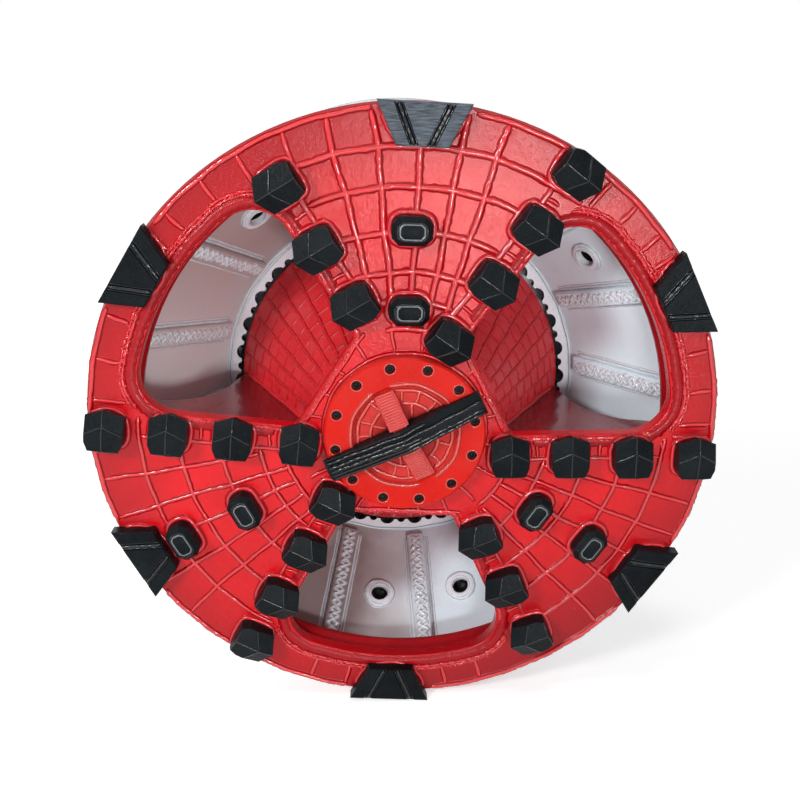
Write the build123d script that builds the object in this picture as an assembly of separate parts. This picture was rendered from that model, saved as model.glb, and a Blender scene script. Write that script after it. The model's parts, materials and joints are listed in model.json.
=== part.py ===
"""Cutterhead and front shield section of a slurry pipe-jacking tunnel boring machine.

The axis of the tunnel is Y.  The ground is at -Y, +Z is up, and the origin is the centre of the
rear flange, where the next shield section bolts on.  Millimetres throughout.

"Depth" is a distance behind the plane of the widest circle of the cutterhead rim (negative in
front of it).  Angles run counter-clockwise from +X, as seen by someone who faces the cutterhead.
"""

from build123d import *
from math import cos, radians, sin, sqrt, tan
import os

# ----------------------------------------------------------------------------- driving dimensions

RIM_RADIUS = 730.0            # widest circle of the cutterhead
OVERCUT = 18.0                # the shield skin is this much smaller
RIM_TO_REAR = 700.0           # from the widest circle back to the rear flange
HEAD_ANGLE = -3.4             # how far the cutterhead is turned at rest
RUN_GAP = 8.0                 # between the turning head and the shield
WELD_GAP = 0.3                # between curved faces that are welded together
SHAFT_GAP = 0.05              # main shaft in its bearing housing

# hub plate and centre cutter
HUB_RADIUS = 186.0
HUB_THICK = 33.0
HUB_EDGE = 4.0
HUB_BOLTS = 12
HUB_BOLT_INSET = 22.5         # bolt circle, from the edge of the plate
HUB_BOLT_HOLE = 9.0
HUB_BOLT_RECESS = 11.5
HUB_BOLT_RECESS_DEPTH = 14.0
HUB_DISH_INSET = 62.0         # dish in the middle, from the edge of the plate
HUB_DISH_DEPTH = 8.0
BLADE_ANGLE = 28.5
BLADE_OVERHANG = 9.0          # past the edge of the hub plate
BLADE_WIDTH = 56.0
BLADE_PEAK = 51.0             # above the hub plate, at the axis
BLADE_END = 20.0
BLADE_FLANK = 9.0
BLADE_CREST = 5.0             # half the width of the flat along its top
RIB_THICK = 34.0
RIB_HEIGHT = 32.0
RIB_END = 8.0

# face of the cutterhead
FACE_THICK = 33.0
FACE_BEVEL = 6.0              # round the rim
FACE_BEVEL_DEPTH = 10.0
RIM_BAND = 110.0              # face left outside the muck openings
HUB_BAND = 31.5               # face left between the hub plate and a muck opening
OPENING_CORNER = 88.0
OPENING_HUB_CORNER = 14.0
OPENING_LIP = 6.0             # rounding of its front edge
ARM_ANGLES = (90.0, 210.0, 330.0)
OPENING_ANGLES = (30.0, 150.0, 270.0)
SECTOR_HALF = 30.0
ARM_FLARE = 3.6               # edges of the arms spread by this angle from the radial lines
ARM_FLARE_START = 0.18        # share of an opening, from the hub, where edge and radial line cross

# rim ring behind the face plate
RING_DEPTH = 42.0
RING_TAPER = 8.0
RING_LIP = 10.0               # bore in front, outside the arc of the openings
RING_STEP = 3.0               # bore behind, inside that arc
RING_STEP_DEPTH = 30.0

# crusher cone that turns with the head
CONE_EDGE = 1.5               # front radius, outside the hub side of the openings
CONE_REAR_RADIUS = 423.0
CONE_LENGTH = 350.0

# arm boxes behind the face plate: depths of the corners along their rear side
ARM_INSET = 7.0               # side wall stands back from the edge of the muck opening
ARM_RIM_DEPTH = 62.0
ARM_CROWN_DEPTH = 84.0
ARM_MIDDLE_DEPTH = 132.0
ARM_BEND_DEPTH = 219.0
ARM_CROWN = 77.0              # inside the rim ring
ARM_BEND = 95.0               # outside the cone
ARM_HOLLOW = 7.0              # curve between the two
ARM_TAIL = 7.0
ARM_TAIL_END = 22.0           # short of the rear of the cone

# scraper bits along both edges of each arm
BIT_WIDTH = 87.0
BIT_LENGTH = 104.0
BIT_HEIGHT = 54.0
BIT_SHOULDER = 42.0
BIT_NOSE = 16.0               # how far the point of the nose leads its corners
BIT_NOSE_HEIGHT = 43.0        # of the point
BIT_CHEEK_HEIGHT = 28.0       # of its corners
BIT_UNDERCUT = 12.0           # how far the foot of the nose stands back
BIT_FORK = 37.0               # from the point back to where the ridge forks
BIT_TAIL = 10.0               # corner taken off behind, across
BIT_TAIL_LENGTH = 22.0        # and along

# small bits down the middle of each arm
PICK_LENGTH = 88.0
PICK_WIDTH = 62.0
PICK_HEIGHT = 50.0
PICK_CORNER = 16.0
PICK_CROWN = 12.0

# gauge cutters on the rim
GAUGE_INSET = 1.0             # flat outer side, inside the widest circle
GAUGE_LENGTH = 89.0
GAUGE_WIDE = 198.0
GAUGE_NARROW = 110.0
GAUGE_RISE = 34.0             # above the face
GAUGE_EDGE = 3.0
GAUGE_GROOVE_WIDTH = 20.0
GAUGE_GROOVE_DEPTH = 5.0
GAUGE_GROOVE_WIDE = 112.0     # between the two grooves at the outer side
GAUGE_GROOVE_NARROW = 32.0    # and at the inner side
GAUGE_ANGLES = (30.0, 90.0, 150.0, 210.0, 270.0, 330.0)

# crusher bowl, bars and screen in the shield
BOWL_MARGIN = 19.0            # front edge of the bowl, inside the skin
CRUSHER_GAP = 44.0            # between cone and bowl at the rear
BOWL_WALL = 30.0
BAR_COUNT = 16
BAR_FIRST = 4.8
BAR_WIDTH = 46.0
BAR_HEIGHT = 18.0
BAR_MARGIN = 26.0
BAR_EDGE = 4.0
PORT_ANGLES = (38.6, 126.5, 263.6, 286.1)
PORT_DEPTH = 190.0
PORT_BORE = 23.0
PORT_WALL = 5.0
PORT_COLLAR = 33.0
PORT_SEAT = 2.5
PORT_RAISE = 6.0
SCREEN_THICK = 25.0
SCREEN_MARGIN = 7.0           # outside the cone
SCREEN_STEP = 5.0             # raised band round the notches
SCREEN_BAND = 24.0
SCREEN_REACH = 63.0           # behind the rear edge of the bowl
SCREEN_NOTCHES = 34
SCREEN_NOTCH = 21.0
SCREEN_NOTCH_SMALL = 11.0

# shield skin, bulkhead and rear flange
SKIN_THICK = 25.0
SKIN_EDGE = 6.0
REAR_BAY = 200.0              # from the front of the bulkhead to the rear flange
BULKHEAD_THICK = 40.0
FLANGE_THICK = 30.0
FLANGE_WIDTH = 72.0
FLANGE_BOLT_INSET = 37.0      # bolt circle, from the skin
FLANGE_BOLTS = 24
FLANGE_BOLT_HOLE = 11.0
GUSSETS = 8
GUSSET_THICK = 20.0
GUSSET_LENGTH = 110.0
GUSSET_HEIGHT = 170.0
GUSSET_TIP = 30.0
GUSSET_TOE = 20.0

# main bearing and drive
SHAFT_RADIUS = 110.0
HEAD_FLANGE_WIDTH = 155.0
HEAD_FLANGE_THICK = 45.0
HOUSING_WALL = 140.0
HOUSING_FRONT = 55.0          # in front of the bulkhead
HOUSING_TAPER = 30.0
HOUSING_REAR = 140.0          # behind the front of the bulkhead
HOUSING_FLANGE_WIDTH = 60.0
HOUSING_FLANGE_THICK = 30.0
SHAFT_END = 20.0              # short of the gear case
CASE_THICK = 90.0
CASE_REACH = 20.0             # outside the housing
CASE_EDGE = 15.0
MOTOR_COUNT = 3
MOTOR_CIRCLE = 160.0
MOTOR_FLANGE_RADIUS = 78.0
MOTOR_FLANGE_THICK = 18.0
MOTOR_RADIUS = 64.0
MOTOR_COVER_RADIUS = 52.0
MOTOR_BODY_LENGTH = 110.0
MOTOR_LENGTH = 190.0

# slurry pipes
PIPE_RADIUS = 57.0
PIPE_BORE = 51.0
PIPE_CIRCLE = 470.0
PIPE_FRONT = 20.0             # in front of the bulkhead
PIPE_REACH = 30.0             # behind the rear flange
PIPE_FLANGE_WIDTH = 48.0
PIPE_FLANGE_THICK = 20.0
PIPE_BOLT_MARGIN = 28.0       # bolt circle, from the pipe
PIPE_BOLTS = 8
PIPE_BOLT_HOLE = 9.0
PIPE_ANGLES = {"feed_pipe": 232.0, "discharge_pipe": 308.0}

# -------------------------------------------------------------------------------- derived dimensions

FACE = -FACE_THICK                                  # depth of the cutterhead's flat front
HUB_FACE = FACE - HUB_THICK                         # depth of the hub plate's front
HUB_DISH_RADIUS = HUB_RADIUS - HUB_DISH_INSET
OPENING_RADIUS = RIM_RADIUS - RIM_BAND              # outer arc of a muck opening
OPENING_HUB_FLAT = HUB_RADIUS + HUB_BAND            # straight inner side of a muck opening
FLARE_RADIUS = OPENING_HUB_FLAT + ARM_FLARE_START * (OPENING_RADIUS - OPENING_HUB_FLAT)
RING_BORE = OPENING_RADIUS - RING_STEP
CONE_FRONT_RADIUS = OPENING_HUB_FLAT + CONE_EDGE
SHIELD_RADIUS = RIM_RADIUS - OVERCUT
SKIN_BORE = SHIELD_RADIUS - SKIN_THICK
SHIELD_FRONT = RING_DEPTH + RUN_GAP                 # depth of the shield's front edge
BOWL_FRONT_RADIUS = SKIN_BORE - BOWL_MARGIN
BOWL_REAR_RADIUS = CONE_REAR_RADIUS + CRUSHER_GAP
BOWL_REAR_DEPTH = CONE_LENGTH + RUN_GAP
SCREEN_INNER_RADIUS = CONE_REAR_RADIUS + SCREEN_MARGIN
BULKHEAD_DEPTH = RIM_TO_REAR - REAR_BAY
HOUSING_RADIUS = SHAFT_RADIUS + HOUSING_WALL
HOUSING_REAR_DEPTH = BULKHEAD_DEPTH + HOUSING_REAR
CASE_RADIUS = HOUSING_RADIUS + CASE_REACH
PIPE_FRONT_DEPTH = BULKHEAD_DEPTH - PIPE_FRONT
PIPE_REAR_DEPTH = RIM_TO_REAR + PIPE_REACH


# ----------------------------------------------------------------------------------------- helpers

def y_at(depth):
    """Y of a plane that many millimetres behind the widest circle."""
    return depth - RIM_TO_REAR


def turned(points, start=0.0, arc=360.0):
    """Solid turned about the tunnel axis from corners given as (radius, depth)."""
    corners = [(radius, y_at(depth)) for radius, depth in points]
    section = make_face(Polyline(*corners, close=True))
    return Rot(0, -start, 0) * revolve(section, Axis.Y, -arc)


def around(solid, angle):
    """Turn a piece that lies along +X to the given angle."""
    return Rot(0, -angle, 0) * solid


def on_face(radius, angle, depth):
    """Frame on a plane across the axis: x outward, y counter-clockwise, z to the ground."""
    a = radians(angle)
    origin = (radius * cos(a), y_at(depth), radius * sin(a))
    return Plane(origin=origin, x_dir=(cos(a), 0, sin(a)), z_dir=(0, -1, 0)).location


def rod(radius, depth_front, depth_rear, circle=0.0, angle=0.0):
    """Round bar parallel to the axis."""
    length = depth_rear - depth_front
    return on_face(circle, angle, depth_rear) * extrude(Circle(radius), length)


def through_plane(solid, a, b, c):
    """Keep the part of a solid on the origin's side of the plane through three points."""
    normal = (Vector(b) - Vector(a)).cross(Vector(c) - Vector(a))
    if normal.dot(Vector(a)) < 0:
        normal = -normal
    plane = Plane(origin=a, x_dir=Vector(b) - Vector(a), z_dir=normal)
    return split(solid, bisect_by=plane, keep=Keep.BOTTOM)


def mirrored_cut(solid, a, b, c):
    """Cut by the plane through three points and by its mirror image across X."""
    for hand in (1, -1):
        sides = [(hand * x, y, z) for x, y, z in (a, b, c)]
        solid = through_plane(solid, *sides)
    return solid


def edge_frame(edge, side, depth):
    """Frame on a flared edge of an arm that lies on the given side of it: x outward along the edge."""
    return on_face(FLARE_RADIUS, edge, depth) * Rot(0, 0, -side * ARM_FLARE)


def along_arm(share):
    """Distance from the axis: 0 at the hub side of the openings, 1 at the rim."""
    return OPENING_HUB_FLAT + share * (RIM_RADIUS - OPENING_HUB_FLAT)


def cone_radius(depth):
    """Outside of the turning crusher cone."""
    return CONE_FRONT_RADIUS + (CONE_REAR_RADIUS - CONE_FRONT_RADIUS) * depth / CONE_LENGTH


def bowl_radius(depth):
    """Inside of the fixed crusher bowl."""
    share = (depth - SHIELD_FRONT) / (BOWL_REAR_DEPTH - SHIELD_FRONT)
    return BOWL_FRONT_RADIUS + (BOWL_REAR_RADIUS - BOWL_FRONT_RADIUS) * share


# -------------------------------------------------------------------------- cutterhead, main forms

def muck_opening():
    """Plan of one muck opening, centred on +X."""
    flat = OPENING_HUB_FLAT
    reach = OPENING_RADIUS
    lean = radians(SECTOR_HALF - ARM_FLARE)
    start = (FLARE_RADIUS * cos(radians(SECTOR_HALF)), FLARE_RADIUS * sin(radians(SECTOR_HALF)))
    half = start[1] - (start[0] - flat) * tan(lean)
    forward = start[0] * cos(lean) + start[1] * sin(lean)
    run = sqrt(forward ** 2 + reach ** 2 - FLARE_RADIUS ** 2) - forward
    far = (start[0] + run * cos(lean), start[1] + run * sin(lean))
    with BuildSketch() as plan:
        with BuildLine():
            Line((flat, -half), (flat, half))
            Line((flat, half), far)
            ThreePointArc(far, (reach, 0), (far[0], -far[1]))
            Line((far[0], -far[1]), (flat, -half))
        make_face()
        fillet(plan.vertices().sort_by(Axis.X)[2:], OPENING_CORNER)
        fillet(plan.vertices().sort_by(Axis.X)[:2], OPENING_HUB_CORNER)
    return plan.sketch


def make_face_plate():
    plate = turned([
        (0, FACE),
        (RIM_RADIUS - FACE_BEVEL, FACE),
        (RIM_RADIUS, FACE + FACE_BEVEL_DEPTH),
        (RIM_RADIUS, 0),
        (0, 0),
    ])
    opening = muck_opening()
    for angle in OPENING_ANGLES:
        plate -= on_face(0, angle, 1) * extrude(opening, FACE_THICK + 2)
    front_edges = plate.edges().filter_by_position(Axis.Y, y_at(FACE) - 0.1, y_at(FACE) + 0.1)
    lips = front_edges.sort_by(SortBy.LENGTH)[:-1]
    return fillet(lips, OPENING_LIP)


def make_rim_ring():
    return turned([
        (OPENING_RADIUS + RING_LIP, 0),
        (RIM_RADIUS, 0),
        (RIM_RADIUS - RING_TAPER, RING_DEPTH),
        (RING_BORE, RING_DEPTH),
        (RING_BORE, RING_STEP_DEPTH),
    ])


def make_crusher_cone():
    bore = SHAFT_RADIUS + WELD_GAP
    return turned([(bore, 0), (CONE_FRONT_RADIUS, 0), (CONE_REAR_RADIUS, CONE_LENGTH), (bore, CONE_LENGTH)])


def arm_section():
    """Section of an arm box: flat against the face plate, swept up behind between cone and rim."""
    slope = (CONE_REAR_RADIUS - CONE_FRONT_RADIUS) / CONE_LENGTH
    gap = WELD_GAP * sqrt(1 + slope ** 2)
    tail_depth = CONE_LENGTH - ARM_TAIL_END
    crown = RING_BORE - ARM_CROWN
    bend = cone_radius(ARM_BEND_DEPTH) + ARM_BEND
    points = {
        "hub": (cone_radius(0) + gap, 0),
        "rim_front": (OPENING_RADIUS + RING_LIP - WELD_GAP, 0),
        "rim_step": (RING_BORE - WELD_GAP, RING_STEP_DEPTH),
        "rim_rear": (RING_BORE - WELD_GAP, ARM_RIM_DEPTH),
        "crown": (crown, ARM_CROWN_DEPTH),
        "middle": (0.5 * (crown + bend) - ARM_HOLLOW, ARM_MIDDLE_DEPTH),
        "bend": (bend, ARM_BEND_DEPTH),
        "tail": (cone_radius(tail_depth) + ARM_TAIL, tail_depth),
        "foot": (cone_radius(tail_depth) + gap, tail_depth),
    }
    p = {name: (radius, y_at(depth)) for name, (radius, depth) in points.items()}
    outline = [
        Line(p["hub"], p["rim_front"]),
        Line(p["rim_front"], p["rim_step"]),
        Line(p["rim_step"], p["rim_rear"]),
        Line(p["rim_rear"], p["crown"]),
        ThreePointArc(p["crown"], p["middle"], p["bend"]),
        Line(p["bend"], p["tail"]),
        Line(p["tail"], p["foot"]),
        Line(p["foot"], p["hub"]),
    ]
    return make_face(outline)


def make_arm_boxes():
    """Three closed boxes, each between two side walls parallel to the edges of the openings."""
    half = SECTOR_HALF + ARM_FLARE
    whole = Rot(0, half, 0) * revolve(arm_section(), Axis.Y, -2 * half)
    reach = 2 * RIM_RADIUS
    for side in (1, -1):
        beyond = Pos(0, side * (reach / 2 - ARM_INSET), 0) * Box(2 * reach, reach, 2 * reach)
        whole -= edge_frame(side * SECTOR_HALF, -side, 0) * beyond
    return [around(whole, angle) for angle in ARM_ANGLES]


# ------------------------------------------------------------------------- hub plate, centre cutter

def make_hub_plate():
    plate = turned([
        (0, FACE),
        (HUB_RADIUS, FACE),
        (HUB_RADIUS, HUB_FACE + HUB_EDGE),
        (HUB_RADIUS - HUB_EDGE, HUB_FACE),
        (HUB_DISH_RADIUS, HUB_FACE),
        (HUB_DISH_RADIUS - HUB_DISH_DEPTH, HUB_FACE + HUB_DISH_DEPTH),
        (0, HUB_FACE + HUB_DISH_DEPTH),
    ])
    circle = HUB_RADIUS - HUB_BOLT_INSET
    for k in range(HUB_BOLTS):
        angle = (k + 0.5) * 360.0 / HUB_BOLTS
        plate -= rod(HUB_BOLT_HOLE, HUB_FACE - 1, FACE + 1, circle, angle)
        plate -= rod(HUB_BOLT_RECESS, HUB_FACE - 1, HUB_FACE + HUB_BOLT_RECESS_DEPTH, circle, angle)
    return plate


def make_centre_cutter():
    """Roof-shaped bar across the hub, highest on the axis, keyed into the dish of the hub plate."""
    half = HUB_RADIUS + BLADE_OVERHANG
    flank = BLADE_WIDTH / 2
    seat = sqrt((HUB_DISH_RADIUS - HUB_DISH_DEPTH) ** 2 - flank ** 2) - 1
    side = make_face(Polyline(
        (-half, 0), (-seat, 0), (-seat, -HUB_DISH_DEPTH), (seat, -HUB_DISH_DEPTH), (seat, 0), (half, 0),
        (half, BLADE_END), (0, BLADE_PEAK), (-half, BLADE_END), close=True))
    frame = Plane(origin=(0, flank, 0), x_dir=(1, 0, 0), z_dir=(0, -1, 0)).location
    bar = frame * extrude(side, BLADE_WIDTH)
    for way in (1, -1):
        for hand in (1, -1):
            top = (0, hand * BLADE_CREST, BLADE_PEAK)
            end = (way * half, hand * BLADE_CREST, BLADE_END)
            eaves = (0, hand * flank, BLADE_PEAK - BLADE_END + BLADE_FLANK)
            bar = through_plane(bar, top, end, eaves)
    return on_face(0, BLADE_ANGLE, HUB_FACE) * bar


def make_centre_ribs():
    """Two ribs that rise from the dish of the hub plate to the flanks of the centre cutter."""
    near = BLADE_WIDTH / 2
    far = HUB_DISH_RADIUS - HUB_DISH_DEPTH - 2
    rib = make_face(Polyline((near, 0), (far, 0), (far, RIB_END), (near, RIB_HEIGHT), close=True))
    frame = Plane(origin=(0, RIB_THICK / 2, 0), x_dir=(1, 0, 0), z_dir=(0, -1, 0)).location
    solid = frame * extrude(rib, RIB_THICK)
    depth = HUB_FACE + HUB_DISH_DEPTH
    return [on_face(0, BLADE_ANGLE + turn, depth) * solid for turn in (90.0, 270.0)]


# ------------------------------------------------------------------------------------- cutting tools

def scraper_bit():
    """Bit with a ridged back and an undercut, ploughing nose.  It cuts towards its own +Y."""
    half_w = BIT_WIDTH / 2
    half_l = BIT_LENGTH / 2
    corner = half_l - BIT_NOSE
    plan = make_face(Polyline(
        (-half_w + BIT_TAIL, -half_l),
        (half_w - BIT_TAIL, -half_l),
        (half_w, -half_l + BIT_TAIL_LENGTH),
        (half_w, corner),
        (0, half_l),
        (-half_w, corner),
        (-half_w, -half_l + BIT_TAIL_LENGTH),
        close=True))
    bit = extrude(plan, BIT_HEIGHT)
    point = (0, half_l, BIT_NOSE_HEIGHT)
    bit = mirrored_cut(bit, (0, 0, BIT_HEIGHT), (0, half_l, BIT_HEIGHT), (half_w, 0, BIT_SHOULDER))
    bit = mirrored_cut(bit, (0, half_l - BIT_FORK, BIT_HEIGHT), point, (half_w, corner, BIT_CHEEK_HEIGHT))
    bit = mirrored_cut(bit, point, (half_w, corner, BIT_NOSE_HEIGHT), (0, half_l - BIT_UNDERCUT, 0))
    slope = 6 - half_l
    return through_plane(bit, (0, slope, BIT_HEIGHT), (10, slope, BIT_HEIGHT), (0, -half_l, BIT_SHOULDER - 8))


# node, edge it follows, side of that edge on which the arm lies, and for each bit its place along
# the arm and how far its centre stands back from the edge
SCRAPER_ROWS = (
    ("scrapers_top_arm_right", 60.0, 1, ((0.912, 35), (0.637, 30), (0.348, 31), (0.036, 29))),
    ("scrapers_top_arm_left", 120.0, -1, ((0.778, 31), (0.481, 32), (0.196, 36))),
    ("scrapers_left_arm_upper", 180.0, 1, ((0.904, 41), (0.625, 35), (0.340, 30), (0.042, 27))),
    ("scrapers_left_arm_lower", 240.0, -1, ((0.881, 32), (0.608, 34), (0.319, 35), (0.036, 37))),
    ("scrapers_right_arm_lower", 300.0, 1, ((0.803, 52), (0.504, 43), (0.204, 35))),
    ("scrapers_right_arm_upper", 0.0, -1, ((0.902, 49), (0.616, 44), (0.327, 40), (0.054, 37))),
)


def scraper_row(edge, side, places):
    bit = scraper_bit()
    turn = 180.0 if side > 0 else 0.0
    row = []
    for share, set_back in places:
        distance = along_arm(share) - FLARE_RADIUS
        seat = edge_frame(edge, side, FACE) * Pos(distance, side * set_back, 0) * Rot(0, 0, turn)
        row.append(seat * bit)
    return row


# node, angle of the row, places along the arm
PICK_ROWS = (
    ("picks_top_arm", 91.3, (0.145, 0.487)),
    ("picks_left_arm", 210.0, (0.401, 0.729)),
    ("picks_right_arm", 330.0, (0.301, 0.616)),
)


def pick():
    """Small eight-sided bit with a sloped crown, longer across the arm than along it."""
    body = extrude(Rectangle(PICK_WIDTH, PICK_LENGTH), PICK_HEIGHT)
    body = chamfer(body.edges().filter_by(Axis.Z), PICK_CORNER)
    top = body.faces().sort_by(Axis.Z)[-1]
    return chamfer(top.edges(), PICK_CROWN)


def gauge_cutter():
    """Trapezium plate on the rim, wide at the gauge, with two grooves for hard facing."""
    outer = RIM_RADIUS - GAUGE_INSET
    inner = outer - GAUGE_LENGTH
    wide = GAUGE_WIDE / 2
    narrow = GAUGE_NARROW / 2
    plan = make_face(Polyline((inner, -narrow), (outer, -wide), (outer, wide), (inner, narrow), close=True))
    plate = extrude(plan, GAUGE_RISE)
    plate = chamfer(plate.faces().sort_by(Axis.Z)[-1].edges(), GAUGE_EDGE)
    half = GAUGE_GROOVE_WIDTH / 2
    far = GAUGE_GROOVE_WIDE / 2
    near = GAUGE_GROOVE_NARROW / 2
    for hand in (1, -1):
        strip = make_face(Polyline(
            (inner - 1, hand * (near - half)),
            (outer + 1, hand * (far - half)),
            (outer + 1, hand * (far + half)),
            (inner - 1, hand * (near + half)),
            close=True))
        groove = Pos(0, 0, GAUGE_RISE - GAUGE_GROOVE_DEPTH) * extrude(strip, 2 * GAUGE_GROOVE_DEPTH)
        plate -= groove
    return on_face(0, 0, FACE) * plate


# -------------------------------------------------------------------------------- head flange, shaft

def make_head_flange():
    """Disc behind the crusher cone that carries the head on the main shaft."""
    bore = SHAFT_RADIUS + WELD_GAP
    edge = SHAFT_RADIUS + HEAD_FLANGE_WIDTH
    rear = CONE_LENGTH + HEAD_FLANGE_THICK
    return turned([(bore, CONE_LENGTH), (edge, CONE_LENGTH), (edge, rear), (bore, rear)])


def make_main_shaft():
    return rod(SHAFT_RADIUS, 0, HOUSING_REAR_DEPTH - SHAFT_END)


# --------------------------------------------------------------------------------- shield, main forms

def make_shield_skin():
    front = SHIELD_FRONT
    return turned([
        (SKIN_BORE, front),
        (SHIELD_RADIUS - SKIN_EDGE, front),
        (SHIELD_RADIUS, front + 10),
        (SHIELD_RADIUS, RIM_TO_REAR),
        (SKIN_BORE, RIM_TO_REAR),
    ])


def make_crusher_bowl():
    seat = SKIN_BORE - WELD_GAP
    bowl = turned([
        (BOWL_REAR_RADIUS, BOWL_REAR_DEPTH),
        (BOWL_FRONT_RADIUS, SHIELD_FRONT),
        (seat, SHIELD_FRONT),
        (seat, SHIELD_FRONT + 24),
        (BOWL_REAR_RADIUS + BOWL_WALL, BOWL_REAR_DEPTH),
    ])
    hole = Pos(0, 0, -2 * BOWL_WALL) * extrude(Circle(PORT_BORE + PORT_WALL + WELD_GAP), 4 * BOWL_WALL)
    for angle in PORT_ANGLES:
        bowl -= bowl_frame(angle, PORT_DEPTH) * hole
    return bowl


def bowl_slope():
    """Unit steps (radius, depth) along the bowl towards its front."""
    run = BOWL_REAR_DEPTH - SHIELD_FRONT
    rise = BOWL_FRONT_RADIUS - BOWL_REAR_RADIUS
    length = sqrt(run * run + rise * rise)
    return rise / length, -run / length


def bowl_frame(angle, depth):
    """Frame on the bowl: x along it to the front, z out of its surface towards the axis."""
    a = radians(angle)
    radius = bowl_radius(depth)
    rise, run = bowl_slope()
    origin = (radius * cos(a), y_at(depth), radius * sin(a))
    along = (rise * cos(a), run, rise * sin(a))
    out = (run * cos(a), -rise, run * sin(a))
    return Plane(origin=origin, x_dir=along, z_dir=out).location


def make_crusher_bars():
    """Straight bars along the bowl, each bedded to the curve of the wall."""
    rise, run = bowl_slope()
    length = (BOWL_REAR_DEPTH - SHIELD_FRONT) / -run - 2 * BAR_MARGIN
    middle = 0.5 * (SHIELD_FRONT + BOWL_REAR_DEPTH)
    sag = BAR_WIDTH ** 2 / (8 * BOWL_REAR_RADIUS)
    block = Pos(0, 0, BAR_HEIGHT / 2 + sag / 2) * Box(length, BAR_WIDTH, BAR_HEIGHT - sag)
    block = chamfer(block.edges().filter_by(Axis.X).sort_by(Axis.Z)[-2:], BAR_EDGE)
    bars = []
    for k in range(BAR_COUNT):
        angle = BAR_FIRST + k * 360.0 / BAR_COUNT
        bars.append(bowl_frame(angle, middle) * Pos(0, 0, WELD_GAP) * block)
    return bars


def make_nozzle_ports():
    """Sleeves through the bowl, each with a collar that stands on its surface."""
    length = BOWL_WALL + PORT_SEAT + PORT_RAISE
    sleeve = Pos(0, 0, -BOWL_WALL) * extrude(Circle(PORT_BORE + PORT_WALL), length)
    sleeve += Pos(0, 0, PORT_SEAT) * extrude(Circle(PORT_COLLAR), PORT_RAISE)
    sleeve -= Pos(0, 0, -2 * BOWL_WALL) * extrude(Circle(PORT_BORE), 4 * BOWL_WALL)
    return [bowl_frame(angle, PORT_DEPTH) * sleeve for angle in PORT_ANGLES]


def make_screen_ring():
    """Ring behind the crushing gap: its notches let small pieces pass."""
    inner = SCREEN_INNER_RADIUS
    outer = BOWL_REAR_RADIUS + SCREEN_REACH
    front = BOWL_REAR_DEPTH
    rear = front + SCREEN_THICK
    ring = turned([
        (inner, front - SCREEN_STEP),
        (inner + SCREEN_BAND, front - SCREEN_STEP),
        (inner + SCREEN_BAND, front),
        (outer, front),
        (outer, rear),
        (inner, rear),
    ])
    pitch = 360.0 / SCREEN_NOTCHES
    cutters = []
    for k in range(SCREEN_NOTCHES):
        cutters.append(rod(SCREEN_NOTCH, front - 10, rear + 1, inner - 6, k * pitch))
        cutters.append(rod(SCREEN_NOTCH_SMALL, front - 10, rear + 1, inner - 2, (k + 0.5) * pitch))
    return ring - cutters


def make_bulkhead():
    bore = HOUSING_RADIUS + WELD_GAP
    seat = SKIN_BORE - WELD_GAP
    front = BULKHEAD_DEPTH
    rear = front + BULKHEAD_THICK
    plate = turned([(bore, front), (seat, front), (seat, rear), (bore, rear)])
    for angle in PIPE_ANGLES.values():
        plate -= rod(PIPE_RADIUS + WELD_GAP, front - 1, rear + 1, PIPE_CIRCLE, angle)
    return plate


def make_bulkhead_gussets():
    """Triangular ribs in the corner between the bulkhead and the shield skin."""
    corner = SKIN_BORE - 1.0
    start = BULKHEAD_DEPTH + BULKHEAD_THICK
    rib = make_face(Polyline(
        (corner, y_at(start)),
        (corner, y_at(start + GUSSET_LENGTH)),
        (corner - GUSSET_TIP, y_at(start + GUSSET_LENGTH)),
        (corner - GUSSET_HEIGHT, y_at(start + GUSSET_TOE)),
        (corner - GUSSET_HEIGHT, y_at(start)),
        close=True))
    solid = Pos(0, 0, -GUSSET_THICK / 2) * extrude(rib, GUSSET_THICK)
    return [around(solid, (k + 0.5) * 360.0 / GUSSETS) for k in range(GUSSETS)]


def make_rear_flange():
    seat = SKIN_BORE - WELD_GAP
    bore = SKIN_BORE - FLANGE_WIDTH
    front = RIM_TO_REAR - FLANGE_THICK
    ring = turned([(bore, front), (seat, front), (seat, RIM_TO_REAR), (bore, RIM_TO_REAR)])
    holes = []
    for k in range(FLANGE_BOLTS):
        angle = (k + 0.5) * 360.0 / FLANGE_BOLTS
        holes.append(rod(FLANGE_BOLT_HOLE, front - 1, RIM_TO_REAR + 1, SKIN_BORE - FLANGE_BOLT_INSET, angle))
    return ring - holes


# ----------------------------------------------------------------------------- drive, slurry pipes

def make_bearing_housing():
    bore = SHAFT_RADIUS + SHAFT_GAP
    front = BULKHEAD_DEPTH - HOUSING_FRONT
    flange_front = BULKHEAD_DEPTH + BULKHEAD_THICK
    flange_rear = flange_front + HOUSING_FLANGE_THICK
    return turned([
        (bore, front),
        (HOUSING_RADIUS - HOUSING_TAPER, front),
        (HOUSING_RADIUS, front + HOUSING_TAPER),
        (HOUSING_RADIUS, flange_front),
        (HOUSING_RADIUS + HOUSING_FLANGE_WIDTH, flange_front),
        (HOUSING_RADIUS + HOUSING_FLANGE_WIDTH, flange_rear),
        (HOUSING_RADIUS, flange_rear),
        (HOUSING_RADIUS, HOUSING_REAR_DEPTH),
        (bore, HOUSING_REAR_DEPTH),
    ])


def make_gear_case():
    front = HOUSING_REAR_DEPTH
    rear = front + CASE_THICK
    return turned([
        (0, front),
        (CASE_RADIUS, front),
        (CASE_RADIUS, rear - CASE_EDGE),
        (CASE_RADIUS - CASE_EDGE, rear),
        (0, rear),
    ])


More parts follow.
